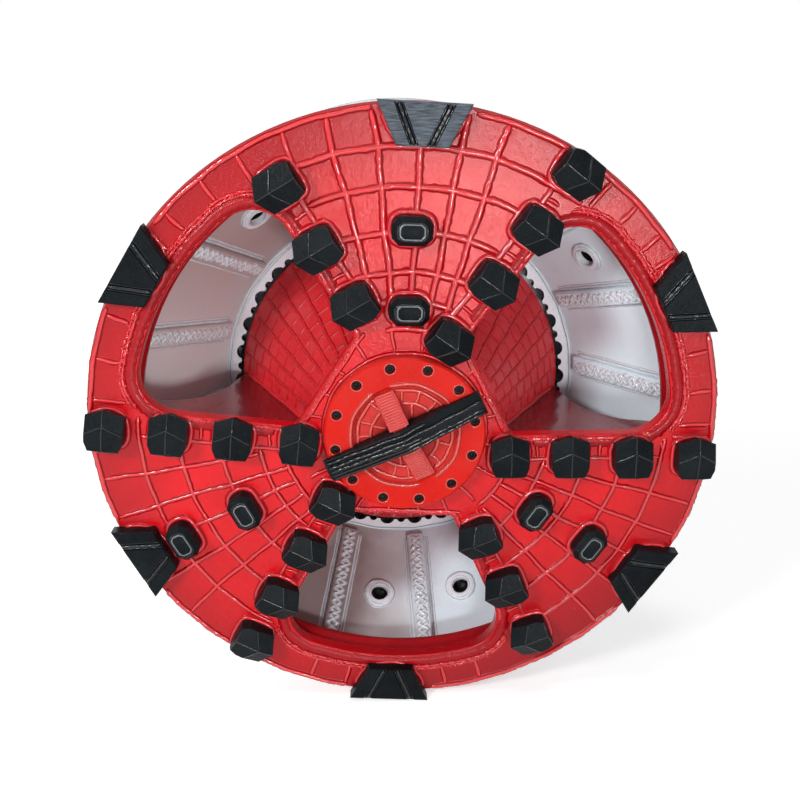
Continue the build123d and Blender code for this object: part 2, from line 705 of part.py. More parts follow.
def make_drive_motors():
    front = HOUSING_REAR_DEPTH + CASE_THICK
    body = turned([
        (0, front),
        (MOTOR_FLANGE_RADIUS, front),
        (MOTOR_FLANGE_RADIUS, front + MOTOR_FLANGE_THICK),
        (MOTOR_RADIUS, front + MOTOR_FLANGE_THICK),
        (MOTOR_RADIUS, front + MOTOR_BODY_LENGTH),
        (MOTOR_COVER_RADIUS, front + MOTOR_BODY_LENGTH + 6),
        (MOTOR_COVER_RADIUS, front + MOTOR_LENGTH),
        (0, front + MOTOR_LENGTH),
    ])
    motors = []
    for k in range(MOTOR_COUNT):
        a = radians(90.0 + k * 360.0 / MOTOR_COUNT)
        motors.append(Pos(MOTOR_CIRCLE * cos(a), 0, MOTOR_CIRCLE * sin(a)) * body)
    return motors


def make_slurry_pipe(angle):
    pipe = rod(PIPE_RADIUS, PIPE_FRONT_DEPTH, PIPE_REAR_DEPTH, PIPE_CIRCLE, angle)
    return pipe - rod(PIPE_BORE, PIPE_FRONT_DEPTH - 1, PIPE_REAR_DEPTH + 1, PIPE_CIRCLE, angle)


def make_pipe_flange(angle):
    front = PIPE_REAR_DEPTH - PIPE_FLANGE_THICK
    flange = rod(PIPE_RADIUS + PIPE_FLANGE_WIDTH, front, PIPE_REAR_DEPTH, PIPE_CIRCLE, angle)
    flange -= rod(PIPE_RADIUS + WELD_GAP, front - 1, PIPE_REAR_DEPTH + 1, PIPE_CIRCLE, angle)
    hole = Pos(PIPE_RADIUS + PIPE_BOLT_MARGIN, 0, -1) * extrude(Circle(PIPE_BOLT_HOLE), PIPE_FLANGE_THICK + 2)
    centre = on_face(PIPE_CIRCLE, angle, PIPE_REAR_DEPTH) * Rot(0, 0, -angle)
    for k in range(PIPE_BOLTS):
        flange -= centre * Rot(0, 0, (k + 0.5) * 360.0 / PIPE_BOLTS) * hole
    return flange


# ------------------------------------------------------------------------------------------- output

def write(node, solids, turn=0.0):
    """Write one node, turned about the tunnel axis."""
    if not isinstance(solids, list):
        solids = [solids]
    pieces = []
    for solid in solids:
        pieces.extend((around(solid, turn)).solids())
    export_step(Compound(children=pieces), f"parts/{node}.step")


os.makedirs("parts", exist_ok=True)

HEAD_NODES = {
    "face_plate": make_face_plate(),
    "rim_ring": make_rim_ring(),
    "crusher_cone": make_crusher_cone(),
    "arm_boxes": make_arm_boxes(),
    "hub_plate": make_hub_plate(),
    "centre_cutter": make_centre_cutter(),
    "centre_gussets": make_centre_ribs(),
    "head_flange": make_head_flange(),
    "main_shaft": make_main_shaft(),
    "gauge_cutters": [around(gauge_cutter(), angle) for angle in GAUGE_ANGLES],
}
for node, edge, side, places in SCRAPER_ROWS:
    HEAD_NODES[node] = scraper_row(edge, side, places)
for node, angle, places in PICK_ROWS:
    HEAD_NODES[node] = [on_face(along_arm(share), angle, FACE) * pick() for share in places]

SHIELD_NODES = {
    "shield_skin": make_shield_skin(),
    "crusher_bowl": make_crusher_bowl(),
    "crusher_bars": make_crusher_bars(),
    "nozzle_ports": make_nozzle_ports(),
    "screen_ring": make_screen_ring(),
    "bulkhead": make_bulkhead(),
    "bulkhead_gussets": make_bulkhead_gussets(),
    "rear_flange": make_rear_flange(),
    "bearing_housing": make_bearing_housing(),
    "gear_case": make_gear_case(),
    "drive_motors": make_drive_motors(),
}
for node, angle in PIPE_ANGLES.items():
    SHIELD_NODES[node] = make_slurry_pipe(angle)
    SHIELD_NODES[f"{node}_flange"] = make_pipe_flange(angle)

for node, solids in HEAD_NODES.items():
    write(node, solids, HEAD_ANGLE)
for node, solids in SHIELD_NODES.items():
    write(node, solids)
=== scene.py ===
"""Looks of a pipe-jacking cutterhead in its front shield section: enamel, hard facing, welds, bolts, studio.

Metres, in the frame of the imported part: the tunnel runs along Y, the ground is at -Y and +Z is up.
Angles on the head run counter-clockwise from +X as seen from the ground, before the head is turned.
"""

import json
import math
import random

import bpy
from mathutils import Matrix, Vector


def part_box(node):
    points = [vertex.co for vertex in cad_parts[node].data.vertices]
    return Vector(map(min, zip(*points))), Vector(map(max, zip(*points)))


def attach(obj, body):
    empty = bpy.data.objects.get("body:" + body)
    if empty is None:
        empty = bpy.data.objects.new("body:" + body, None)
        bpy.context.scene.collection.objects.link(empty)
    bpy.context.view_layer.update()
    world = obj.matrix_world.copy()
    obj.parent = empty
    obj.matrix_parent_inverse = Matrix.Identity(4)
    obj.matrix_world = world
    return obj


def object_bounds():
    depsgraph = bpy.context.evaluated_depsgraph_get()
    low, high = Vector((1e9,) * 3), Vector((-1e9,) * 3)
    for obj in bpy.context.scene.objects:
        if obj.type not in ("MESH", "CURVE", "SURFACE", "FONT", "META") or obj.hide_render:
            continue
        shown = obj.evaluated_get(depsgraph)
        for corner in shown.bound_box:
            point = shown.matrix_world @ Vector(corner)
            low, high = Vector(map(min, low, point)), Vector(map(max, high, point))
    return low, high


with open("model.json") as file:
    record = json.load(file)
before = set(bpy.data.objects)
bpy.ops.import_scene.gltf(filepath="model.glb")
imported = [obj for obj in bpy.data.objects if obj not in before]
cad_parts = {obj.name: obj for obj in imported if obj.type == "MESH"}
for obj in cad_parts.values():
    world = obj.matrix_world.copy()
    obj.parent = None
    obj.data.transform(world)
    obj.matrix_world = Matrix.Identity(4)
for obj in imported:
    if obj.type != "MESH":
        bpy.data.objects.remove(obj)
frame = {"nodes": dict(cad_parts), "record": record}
CAD_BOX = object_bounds()

MM = 0.001
HEAD = "cutterhead"
SHIELD = "shield_section"
FRONT = Vector((0, -1, 0))
BACK = Vector((0, 1, 0))

# ---------------- places from the frame

HEAD_ANGLE = -3.4  # degrees the head is turned at rest
RIM_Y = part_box("rim_ring")[0].y  # plane of the widest circle
RING_REAR_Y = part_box("rim_ring")[1].y
RIM_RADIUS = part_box("rim_ring")[1].x
FACE_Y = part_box("face_plate")[0].y
HUB_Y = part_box("hub_plate")[0].y
HUB_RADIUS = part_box("hub_plate")[1].x
CONE_REAR_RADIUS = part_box("crusher_cone")[1].x
CONE_REAR_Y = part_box("crusher_cone")[1].y
BOWL_FRONT_Y, BOWL_REAR_Y = (corner.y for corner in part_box("crusher_bowl"))
SHIELD_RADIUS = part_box("shield_skin")[1].x
SHIELD_FRONT_Y, SHIELD_REAR_Y = (corner.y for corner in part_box("shield_skin"))
BULKHEAD_FRONT_Y, BULKHEAD_REAR_Y = (corner.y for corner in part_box("bulkhead"))
CASE_REAR_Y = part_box("gear_case")[1].y
MOTOR_REAR_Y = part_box("drive_motors")[1].y

# ---------------- sizes shared with the CAD model

RING_TAPER = 8 * MM
DISH_DEPTH = 8 * MM
DISH_RADIUS = 116 * MM  # floor of the dish in the hub plate
HUB_BOLT_COUNT = 12
HUB_BOLT_CIRCLE = 163.5 * MM
HUB_BOLT_SEAT = 14 * MM
BLADE_ANGLE = 28.5
BLADE_HALF = 195 * MM
BLADE_FLANK = 28 * MM
BLADE_CREST = 5 * MM
BLADE_PEAK = 51 * MM
BLADE_END = 20 * MM
BLADE_FALL = 11 * MM
RIB_NEAR, RIB_FAR = 28 * MM, 114 * MM
RIB_HIGH, RIB_LOW = 32 * MM, 8 * MM
RIB_CLAD_HALF = 23.5 * MM  # half width of the hard facing over a rib
CONE_FRONT_RADIUS = 219 * MM
OPENING_HUB_FLAT = 217.5 * MM
FLARE_RADIUS = 289.95 * MM  # where an arm's edge crosses its radial line
ARM_FLARE = 3.6
ARM_ANGLES = (90.0, 210.0, 330.0)
OPENING_ANGLES = (30.0, 150.0, 270.0)
SECTOR_HALF = 30.0
GAUGE_ANGLES = (30.0, 90.0, 150.0, 210.0, 270.0, 330.0)
GAUGE_INNER, GAUGE_OUTER = 640 * MM, 729 * MM
GAUGE_GROOVE_INNER, GAUGE_GROOVE_OUTER = 16 * MM, 56 * MM
GAUGE_GROOVE_RISE = 29 * MM  # floor of a groove above the face
BOWL_FRONT_RADIUS, BOWL_REAR_RADIUS = 668 * MM, 467 * MM
BAR_COUNT = 16
BAR_FIRST = 4.8
BAR_HALF = 23 * MM
BAR_TOP = 18.3 * MM
BAR_LENGTH = 315 * MM
PORT_ANGLES = (38.6, 126.5, 263.6, 286.1)
PORT_SHARE = 0.4545  # of the bowl, from its front
PORT_BORE = 23  # mm
HOUSING_RADIUS, HOUSING_FLANGE_RADIUS = 250 * MM, 310 * MM
HOUSING_FLANGE_REAR_Y = BULKHEAD_REAR_Y + 30 * MM
SKIN_BORE = SHIELD_RADIUS - 25 * MM
GUSSET_COUNT = 8
GUSSET_HALF = 10 * MM
GUSSET_REACH = 170 * MM
GUSSET_LENGTH = 110 * MM
MOTOR_CIRCLE = 160 * MM
MOTOR_ANGLES = (90.0, 210.0, 330.0)
MOTOR_RADIUS, MOTOR_FLANGE_RADIUS, MOTOR_COVER_RADIUS = 64 * MM, 78 * MM, 52 * MM
MOTOR_FLANGE_THICK = 18 * MM
PIPE_RADIUS = 57 * MM
PIPE_CIRCLE = 470 * MM
PIPE_ANGLES = (232.0, 308.0)

# ---------------- weld bead sizes

BEAD_WIDTH, BEAD_HEIGHT = 14, 4.5  # mm, as are all sizes given for a bead
BEAD_STEP = 6 * MM
FINE_STEP = 4 * MM

# Half section of a bead from its toe to beside its top: across and rise in shares of its width and
# height, and crown, which is 0 at the toes, where the colour is darkened as painted shade, and 1 along the
# top
BEAD_SIDE = ((0.66, 0.03, 0.8), (0.52, 0.10, 0.1), (0.40, 0.46, 0.0), (0.25, 0.86, 0.75))
BEAD_SECTION = [(-aside, rise, crown) for aside, rise, crown in BEAD_SIDE]
BEAD_SECTION += [(0.0, 1.0, 1.0), *BEAD_SIDE[::-1]]


# ---------------- surfaces, by places
# Each surface is a function of two coordinates of its own and returns a point and the normal there.

def polar(radius, angle, y=0.0):
    a = math.radians(angle)
    return Vector((radius * math.cos(a), y, radius * math.sin(a)))


def directions(angle):
    """Outward direction at an angle, and the direction a quarter turn on."""
    return polar(1, angle), polar(1, angle + 90)


def on_axis(y):
    return Vector((0, y, 0))


def between(first, last, share):
    return first + (last - first) * share


def plane_at(y, normal=BACK, turned=0.0):
    """Flat wall across the axis."""
    return lambda radius, angle: (polar(radius, angle + turned, y), normal)


def tapered(front_radius, rear_radius, front_y, rear_y, turned=0.0, facing=1):
    """Tapered surface round the axis, share 0 at its front and 1 at its rear."""
    length, rise = rear_y - front_y, rear_radius - front_radius

    def place(share, angle):
        a = angle + turned
        normal = facing * (polar(length, a) + FRONT * rise).normalized()
        return polar(front_radius + rise * share, a, front_y + length * share), normal
    return place


face = plane_at(FACE_Y, FRONT, HEAD_ANGLE)
hub_top = plane_at(HUB_Y, FRONT, HEAD_ANGLE)
dish = plane_at(HUB_Y + DISH_DEPTH, FRONT, HEAD_ANGLE)
ring_side = tapered(RIM_RADIUS, RIM_RADIUS - RING_TAPER, RIM_Y, RING_REAR_Y, HEAD_ANGLE)
cone = tapered(CONE_FRONT_RADIUS, CONE_REAR_RADIUS, RIM_Y, CONE_REAR_Y, HEAD_ANGLE)
bowl = tapered(BOWL_FRONT_RADIUS, BOWL_REAR_RADIUS, BOWL_FRONT_Y, BOWL_REAR_Y, facing=-1)


def skin(y, angle):
    return polar(SHIELD_RADIUS, angle, y), polar(1, angle)


def bowl_forward(angle):
    """Direction down the bowl towards its front."""
    return (bowl(0.0, angle)[0] - bowl(1.0, angle)[0]).normalized()


def edge_frame(edge, side):
    """Start of an arm's edge on the face plate, the way out along it and the way back into the arm."""
    along, inward = directions(edge - side * ARM_FLARE + HEAD_ANGLE)
    return polar(FLARE_RADIUS, edge + HEAD_ANGLE, FACE_Y), along, side * inward


def edge_place(edge, side):
    """Face plate in the frame of an arm's edge: distance out along the edge and back into the arm."""
    start, along, inward = edge_frame(edge, side)
    return lambda out, back: (start + along * out + inward * back, FRONT)


def edge_angle(edge, side, radius, back):
    """Angle in the head at which a circle lies that far behind the edge of an arm."""
    offset = FLARE_RADIUS * math.sin(math.radians(ARM_FLARE))
    return edge - side * ARM_FLARE + side * math.degrees(math.asin((back + offset) / radius))


def set_back(point, edge, side):
    """How far a point on the head lies behind the edge of an arm."""
    start, _, inward = edge_frame(edge, side)
    return (point - start).dot(inward)


def blade(along, across):
    """Roof of the centre cutter, in its own directions from the axis."""
    fall = (BLADE_PEAK - BLADE_END) / BLADE_HALF
    slope = BLADE_FALL / (BLADE_FLANK - BLADE_CREST)
    beside = max(0.0, abs(across) - BLADE_CREST)
    height = BLADE_PEAK - fall * abs(along) - slope * beside
    u, v = directions(BLADE_ANGLE + HEAD_ANGLE)
    lean = v * math.copysign(slope, across) if beside > 0 else Vector()
    normal = (FRONT + u * math.copysign(fall, along) + lean).normalized()
    return u * along + v * across + on_axis(HUB_Y) + FRONT * height, normal


def rib_top(turn):
    """Sloped top of one rib in the dish: distance from the axis and place across the rib."""
    u, v = directions(BLADE_ANGLE + turn + HEAD_ANGLE)
    fall = (RIB_HIGH - RIB_LOW) / (RIB_FAR - RIB_NEAR)
    normal = (FRONT + u * fall).normalized()

    def place(out, across):
        height = RIB_HIGH - fall * (out - RIB_NEAR)
        return u * out + v * across + on_axis(HUB_Y + DISH_DEPTH) + FRONT * height, normal
    return place


def bar_top(angle):
    """Top of one crusher bar: place along it towards the front and across it."""
    centre, normal = bowl(0.5, angle)
    forward, across = bowl_forward(angle), polar(1, angle + 90)
    start = centre + normal * BAR_TOP
    return lambda along, aside: (start + forward * along + across * aside, normal)


def gauge_groove(angle, hand):
    """Floor of one groove of a gauge cutter, by shares outward and across."""
    u, v = directions(angle + HEAD_ANGLE)

    def place(share, aside):
        out = between(GAUGE_INNER, GAUGE_OUTER, share)
        across = between(GAUGE_GROOVE_INNER, GAUGE_GROOVE_OUTER, share)
        return u * out + v * (hand * across + aside) + on_axis(FACE_Y - GAUGE_GROOVE_RISE), FRONT
    return place


# ---------------- paths

def evenly(count):
    """Shares from 0 to 1 in even steps."""
    return [k / count for k in range(count + 1)]


def round_angles(count, first=0.0):
    """Angles in even steps all the way round."""
    return [first + 360 * k / count for k in range(count)]


def spaced(points, step, closed=False):
    """Even steps along a row of (point, normal) pairs."""
    row = list(points) + [points[0]] if closed else list(points)
    spans = [(b[0] - a[0]).length for a, b in zip(row, row[1:])]
    total = sum(spans)
    count = max(3, round(total / step))
    path = []
    span, gone = 0, 0.0
    for k in range(count if closed else count + 1):
        goal = total * k / count
        while span < len(spans) - 1 and gone + spans[span] < goal:
            gone += spans[span]
            span += 1
        share = min(1.0, (goal - gone) / max(spans[span], 1e-9))
        a, b = row[span], row[span + 1]
        path.append((a[0].lerp(b[0], share), a[1].lerp(b[1], share).normalized()))
    return path


def trace(surface, *stops, step=BEAD_STEP, closed=False):
    """Path on a surface through places given in its own two coordinates."""
    parts = 180 if closed else 24 if len(stops) == 2 else 6
    row = []
    for (a, b), (c, d) in zip(stops, stops[1:]):
        for share in evenly(parts)[:-1]:
            row.append(surface(between(a, c, share), between(b, d, share)))
    if not closed:
        row.append(surface(*stops[-1]))
    return spaced(row, step, closed)


def fine_trace(surface, *stops):
    return trace(surface, *stops, step=FINE_STEP)


def circle(surface, first, step=BEAD_STEP):
    """Closed path round the axis on a surface whose second coordinate is an angle."""
    return trace(surface, (first, 0.0), (first, 360.0), step=step, closed=True)


def kept(path, test):
    """Stretches of a path on which the test holds."""
    runs = [[]]
    for place in path:
        if test(place[0]):
            runs[-1].append(place)
        elif runs[-1]:
            runs.append([])
    return [run for run in runs if len(run) > 2]


def kept_round(ring, test):
    """Stretches of a closed path, with the first and last made one where the path starts inside them."""
    runs = kept(ring, test)
    if len(runs) > 1 and runs[0][0] is ring[0] and runs[-1][-1] is ring[-1]:
        return [runs[-1] + runs[0]] + runs[1:-1]
    return runs


def rounded(points, rounds=2):
    """Closed row of points with its corners cut back."""
    for _ in range(rounds):
        cut = []
        for a, b in zip(points, points[1:] + points[:1]):
            cut += [a.lerp(b, 0.25), a.lerp(b, 0.75)]
        points = cut
    return points


def widened(points, distance):
    """Closed convex outline in a plane across the axis, moved outward."""
    centre = sum(points, Vector()) / len(points)
    moved = []
    for before, point, after in zip(points[-1:] + points[:-1], points, points[1:] + points[:1]):
        side = (after - before).normalized().cross(FRONT)
        if side.dot(point - centre) < 0:
            side = -side
        moved.append(point + side * distance)
    return moved


def facing_front(points):
    return [(point, FRONT) for point in points]


def ring_outside(outline, distance):
    """Closed path at a distance outside an outline on the face."""
    path = spaced(facing_front(outline), FINE_STEP, True)
    return facing_front(widened([point for point, _ in path], distance))


# ---------------- reading shapes off the frame

def merged(node):
    """Corners of a CAD node with doubles joined, and its faces as (corner numbers, normal)."""
    data = frame["nodes"][node].data
    numbers, corners, index = {}, [], []
    for vertex in data.vertices:
        key = tuple(round(value * 1e5) for value in vertex.co)
        if key not in numbers:
            numbers[key] = len(corners)
            corners.append(vertex.co.copy())
        index.append(numbers[key])
    faces = [([index[v] for v in polygon.vertices], polygon.normal.copy()) for polygon in data.polygons]
    return corners, faces


def solids(*nodes):
    """The separate solids of one or more CAD nodes, each as (corners, faces)."""
    found = []
    for corners, faces in map(merged, nodes):
        leader = list(range(len(corners)))

        def find(k):
            while leader[k] != k:
                leader[k] = leader[leader[k]]
                k = leader[k]
            return k

        for ring, _ in faces:
            for k in ring[1:]:
                leader[find(k)] = find(ring[0])
        groups = {}
        for ring, normal in faces:
            groups.setdefault(find(ring[0]), []).append((ring, normal))
        found += [(corners, group) for group in groups.values()]
    return found


def middle(solid):
    corners, faces = solid
    used = sorted({k for ring, _ in faces for k in ring})
    low = [min(corners[k][axis] for k in used) for axis in range(3)]
    high = [max(corners[k][axis] for k in used) for axis in range(3)]
    return (Vector(low) + Vector(high)) / 2


def flat_outlines(solid, y, way):
    """Closed outlines of the flat faces of a solid that lie at y and look along +Y or -Y."""
    corners, faces = solid
    seen = {}
    for ring, normal in faces:
        if normal.y * way > 0.99 and all(abs(corners[k].y - y) < 0.2 * MM for k in ring):
            for a, b in zip(ring, ring[1:] + ring[:1]):
                key = (min(a, b), max(a, b))
                seen[key] = None if key in seen else (a, b)
    follows = {pair[0]: pair[1] for pair in seen.values() if pair}
    outlines = []
    while follows:
        start, k = follows.popitem()
        outline = [start]
        while k != start:
            outline.append(k)
            k = follows.pop(k)
        outlines.append([corners[k] for k in outline])
    return outlines


def crease_lines(solid, least=12.0):
    """Straight sharp edges of a solid as (start, end, mean normal)."""
    corners, faces = solid
    sides = {}
    for ring, normal in faces:
        for a, b in zip(ring, ring[1:] + ring[:1]):
            sides.setdefault((min(a, b), max(a, b)), []).append(normal)
    lines = []
    for (a, b), normals in sides.items():
        if len(normals) == 2 and normals[0].angle(normals[1]) > math.radians(least):
            lines.append((corners[a], corners[b], (normals[0] + normals[1]).normalized()))
    return lines


FACE_OUTLINES = sorted(flat_outlines(merged("face_plate"), FACE_Y, -1), key=len)
OPENING_OUTLINES = [o for o in FACE_OUTLINES if (sum(o, Vector()) / len(o)).xz.length > HUB_RADIUS]


def inside(point, outline):
    """Whether a point lies in an outline, seen along the axis."""
    crossings = 0
    for a, b in zip(outline, outline[1:] + outline[:1]):
        if (a.z > point.z) != (b.z > point.z):
            x = a.x + (b.x - a.x) * (point.z - a.z) / (b.z - a.z)
            crossings += x > point.x
    return crossings % 2 == 1


def on_plate(point):
    """Whether a point is over the flat of the face plate."""
    if point.xz.length > RIM_RADIUS - 9 * MM:
        return False
    return not any(inside(point, outline) for outline in OPENING_OUTLINES)


# ---------------- node helpers

def feed(node, label, value):
    """Link a socket to an input of a node, or set the input to a number, a vector or an RGB colour."""
    socket = node.inputs[label]
    if isinstance(value, bpy.types.NodeSocket):
        node.id_data.links.new(value, socket)
    elif socket.type == "RGBA":
        socket.default_value = (*value, 1)
    else:
        socket.default_value = value


def fill(node, **settings):
    """Feed the inputs that are named, and set what is not an input as a property of the node."""
    for key, value in settings.items():
        label = key.replace("_", " ")
        if label in node.inputs:
            feed(node, label, value)
        else:
            setattr(node, key, value)
    return node


def add_node(tree, kind, **settings):
    return fill(tree.nodes.new("ShaderNode" + kind), **settings)


def noise(tree, vector, scale, detail, roughness):
    node = add_node(tree, "TexNoise", Vector=vector, Scale=scale, Detail=detail, Roughness=roughness)
    return node.outputs["Fac"]


def ramp(tree, value, low, high, to_low=0.0, to_high=1.0):
    node = add_node(tree, "MapRange", Value=value, From_Min=low, From_Max=high, To_Min=to_low, To_Max=to_high)
    return node.outputs["Result"]


def math_node(tree, operation, *values):
    node = add_node(tree, "Math", operation=operation)
    for index, value in enumerate(values):
        feed(node, index, value)
    return node.outputs[0]


def vector_node(tree, operation, *values):
    """Result of a vector operation, which is a number for a length, a distance or a dot product."""
    node = add_node(tree, "VectorMath", operation=operation)
    for index, value in enumerate(values):
        feed(node, index, value)
    return node.outputs["Vector" if operation == "MULTIPLY" else "Value"]


def mix(tree, factor, a, b):
    """Blend of two colours, each a link or an RGB triple."""
    return add_node(tree, "Mix", data_type="RGBA", Factor=factor, A=a, B=b).outputs["Result"]


def object_place(tree):
    return add_node(tree, "TexCoord").outputs["Object"]


def coordinate(tree, vector, axis):
    return add_node(tree, "SeparateXYZ", Vector=vector).outputs[axis]


def from_axis(tree, place):
    """Distance of a place from the tunnel axis."""
    return vector_node(tree, "LENGTH", vector_node(tree, "MULTIPLY", place, (1, 0, 1)))


def group_tree(name, inputs, outputs):
    """New shader node group for numbers, with named sockets.  Returns its tree, input and output nodes."""
    tree = bpy.data.node_groups.new(name, "ShaderNodeTree")
    for label, value in inputs.items():
        socket = tree.interface.new_socket(label, in_out="INPUT", socket_type="NodeSocketFloat")
        socket.default_value = value
    for label in outputs:
        tree.interface.new_socket(label, in_out="OUTPUT", socket_type="NodeSocketFloat")
    return tree, tree.nodes.new("NodeGroupInput"), tree.nodes.new("NodeGroupOutput")


def scaled_place(tree, given):
    """Place on the object, scaled by the group's own Scale."""
    place = object_place(tree)
    return add_node(tree, "VectorMath", operation="SCALE", Vector=place,
                    Scale=given.outputs["Scale"]).outputs["Vector"]


def build_paint_film():
    """Thick brushed enamel over rough steel: a tint, a roughness that varies and an uneven height."""
    inputs = {"Scale": 1.0, "Roughness Low": 0.2, "Roughness High": 0.4, "Crumple": 1.0, "Grit": 0.1}
    tree, given, result = group_tree("paint_film", inputs, ("Tint", "Roughness", "Height"))
    vector = scaled_place(tree, given)
    broad = noise(tree, vector, 7.0, 4.0, 0.6)
    ripple = noise(tree, vector, 95.0, 5.0, 0.62)
    grit = noise(tree, vector, 330.0, 2.0, 0.6)
    gloss = ramp(tree, ripple, 0.3, 0.7, given.outputs["Roughness Low"], given.outputs["Roughness High"])
    coarse = math_node(tree, "MULTIPLY", ripple, given.outputs["Crumple"])
    fine = math_node(tree, "MULTIPLY", grit, given.outputs["Grit"])
    tint = ramp(tree, broad, 0.32, 0.68)
    fill(result, Tint=tint, Roughness=gloss, Height=math_node(tree, "ADD", coarse, fine))
    return tree


def build_weld_shade():
    """Colour mask and height of a weld bead from its place across and along the bead."""
    inputs = {"Ripple Pitch": 0.0045, "Ripple": 0.2}
    tree, given, result = group_tree("weld_shade", inputs, ("Crown", "Height"))
    crown = add_node(tree, "Attribute", attribute_name="crown").outputs["Fac"]
    run = add_node(tree, "Attribute", attribute_name="run").outputs["Fac"]
    turns = math_node(tree, "DIVIDE", run, given.outputs["Ripple Pitch"])
    bowed = math_node(tree, "ADD", math_node(tree, "MULTIPLY", turns, 2 * math.pi), crown)
    wave = math_node(tree, "MULTIPLY", math_node(tree, "SINE", bowed), given.outputs["Ripple"])
    fill(result, Crown=ramp(tree, crown, 0.05, 0.5), Height=wave)
    return tree


def build_dust():
    """Mask of dull patches and fine specks that dirt leaves on a surface."""
    tree, given, result = group_tree("dust", {"Amount": 0.3, "Scale": 1.0}, ("Dust",))
    vector = scaled_place(tree, given)
    patches = ramp(tree, noise(tree, vector, 11.0, 5.0, 0.65), 0.48, 0.72)
    specks = ramp(tree, noise(tree, vector, 160.0, 2.0, 0.5), 0.62, 0.72)
    both = math_node(tree, "MAXIMUM", math_node(tree, "MULTIPLY", patches, 0.6), specks)
    fill(result, Dust=math_node(tree, "MULTIPLY", both, given.outputs["Amount"]))
    return tree


PAINT_FILM = build_paint_film()
WELD_SHADE = build_weld_shade()
DUST = build_dust()


# ---------------- materials

def new_paint(name, **film):
    """New material with the shared paint film in it."""
    material = bpy.data.materials.new(name)
    material.use_nodes = True
    tree = material.node_tree
    return material, tree, add_node(tree, "Group", node_tree=PAINT_FILM, **film).outputs


def finish_paint(material, film, height, bump, **inputs):
    """Give the shader its roughness, its relief and the other inputs."""
    tree = material.node_tree
    relief = add_node(tree, "Bump", Strength=1.0, Distance=bump * MM, Height=height)
    shader = tree.nodes["Principled BSDF"]
    fill(shader, Roughness=film["Roughness"], Normal=relief.outputs["Normal"], **inputs)
    return material


def enamel(name, light, dark, gloss, rough, bump, scale=1.0, crumple=1.0, grit=0.1, sheen=0.25,
           coat=0.0, dust=None, metal=0.0):
    """Painted or bare metal: two close shades, a roughness that varies from gloss to rough, an uneven
    film bump mm deep, and dust as (amount, colour)."""
    material, tree, film = new_paint(name, Scale=scale, Roughness_Low=gloss, Roughness_High=rough,
                                     Crumple=crumple, Grit=grit)
    colour = mix(tree, film["Tint"], dark, light)
    if dust:
        mask = add_node(tree, "Group", node_tree=DUST, Amount=dust[0], Scale=scale)
        colour = mix(tree, mask.outputs["Dust"], colour, dust[1])
    return finish_paint(material, film, film["Height"], bump, Base_Color=colour, Specular_IOR_Level=sheen,
                        Coat_Weight=coat, Coat_Roughness=0.08, Metallic=metal)


def weld_enamel(name, crown, toe_shade, gloss, rough, bump, sheen=0.15, coat=0.5):
    """Painted weld bead, glossy on its crown, with painted shade darkening it at its toes."""
    material, tree, film = new_paint(name, Scale=2.2, Roughness_Low=gloss, Roughness_High=rough,
                                     Crumple=0.9, Grit=0.2)
    bead = add_node(tree, "Group", node_tree=WELD_SHADE).outputs
    shade = tuple(0.82 * value for value in crown)
    colour = mix(tree, bead["Crown"], toe_shade, mix(tree, film["Tint"], shade, crown))
    height = math_node(tree, "ADD", film["Height"], bead["Height"])
    return finish_paint(material, film, height, bump, Base_Color=colour, Specular_IOR_Level=sheen,
                        Coat_Weight=ramp(tree, bead["Crown"], 0.2, 1.0, 0.0, coat), Coat_Roughness=0.07)


RED = enamel("red_enamel", (0.70, 0.003, 0.009), (0.57, 0.002, 0.006), 0.06, 0.17, 1.15,
             grit=0.34, sheen=0.29, dust=(0.12, (0.62, 0.03, 0.035)))
# Painted shade: a darker copy of the red for the rim ring, whose walls round the openings lie in shade.
RED_WALL_SHADED = enamel("red_enamel_walls_painted_shade", (0.38, 0.005, 0.010), (0.28, 0.004, 0.008), 0.26, 0.46, 0.6,
                  dust=(0.3, (0.32, 0.05, 0.06)))
RED_CONE = enamel("red_enamel_cone", (0.74, 0.018, 0.027), (0.58, 0.012, 0.020), 0.24, 0.42, 0.6,
                  sheen=0.3, dust=(0.5, (0.60, 0.13, 0.14)))
# Painted shade: a darker copy of the red for the tops of the arm boxes, seen deep in the openings.
RED_BOX_SHADED = enamel("red_enamel_boxes_painted_shade", (0.24, 0.006, 0.012), (0.17, 0.004, 0.009), 0.14, 0.30, 0.3,
                 sheen=0.5, coat=0.5, dust=(0.4, (0.24, 0.04, 0.04)))
RED_HUB = enamel("red_enamel_hub", (0.64, 0.010, 0.005), (0.54, 0.007, 0.003), 0.24, 0.4, 0.5,
                 grit=0.15, sheen=0.13, dust=(0.3, (0.56, 0.05, 0.04)))
RED_HUB_WELD = weld_enamel("red_enamel_hub_welds", (0.68, 0.075, 0.060), (0.30, 0.010, 0.010), 0.16, 0.34,
                           0.4, coat=0.8)
RED_WELD = weld_enamel("red_enamel_welds", (0.68, 0.010, 0.018), (0.20, 0.003, 0.005), 0.12, 0.26,
                       0.6, coat=1.0)
RED_SEAT = weld_enamel("red_enamel_seats", (0.64, 0.008, 0.016), (0.34, 0.004, 0.009), 0.12, 0.28,
                       0.6, coat=1.0)
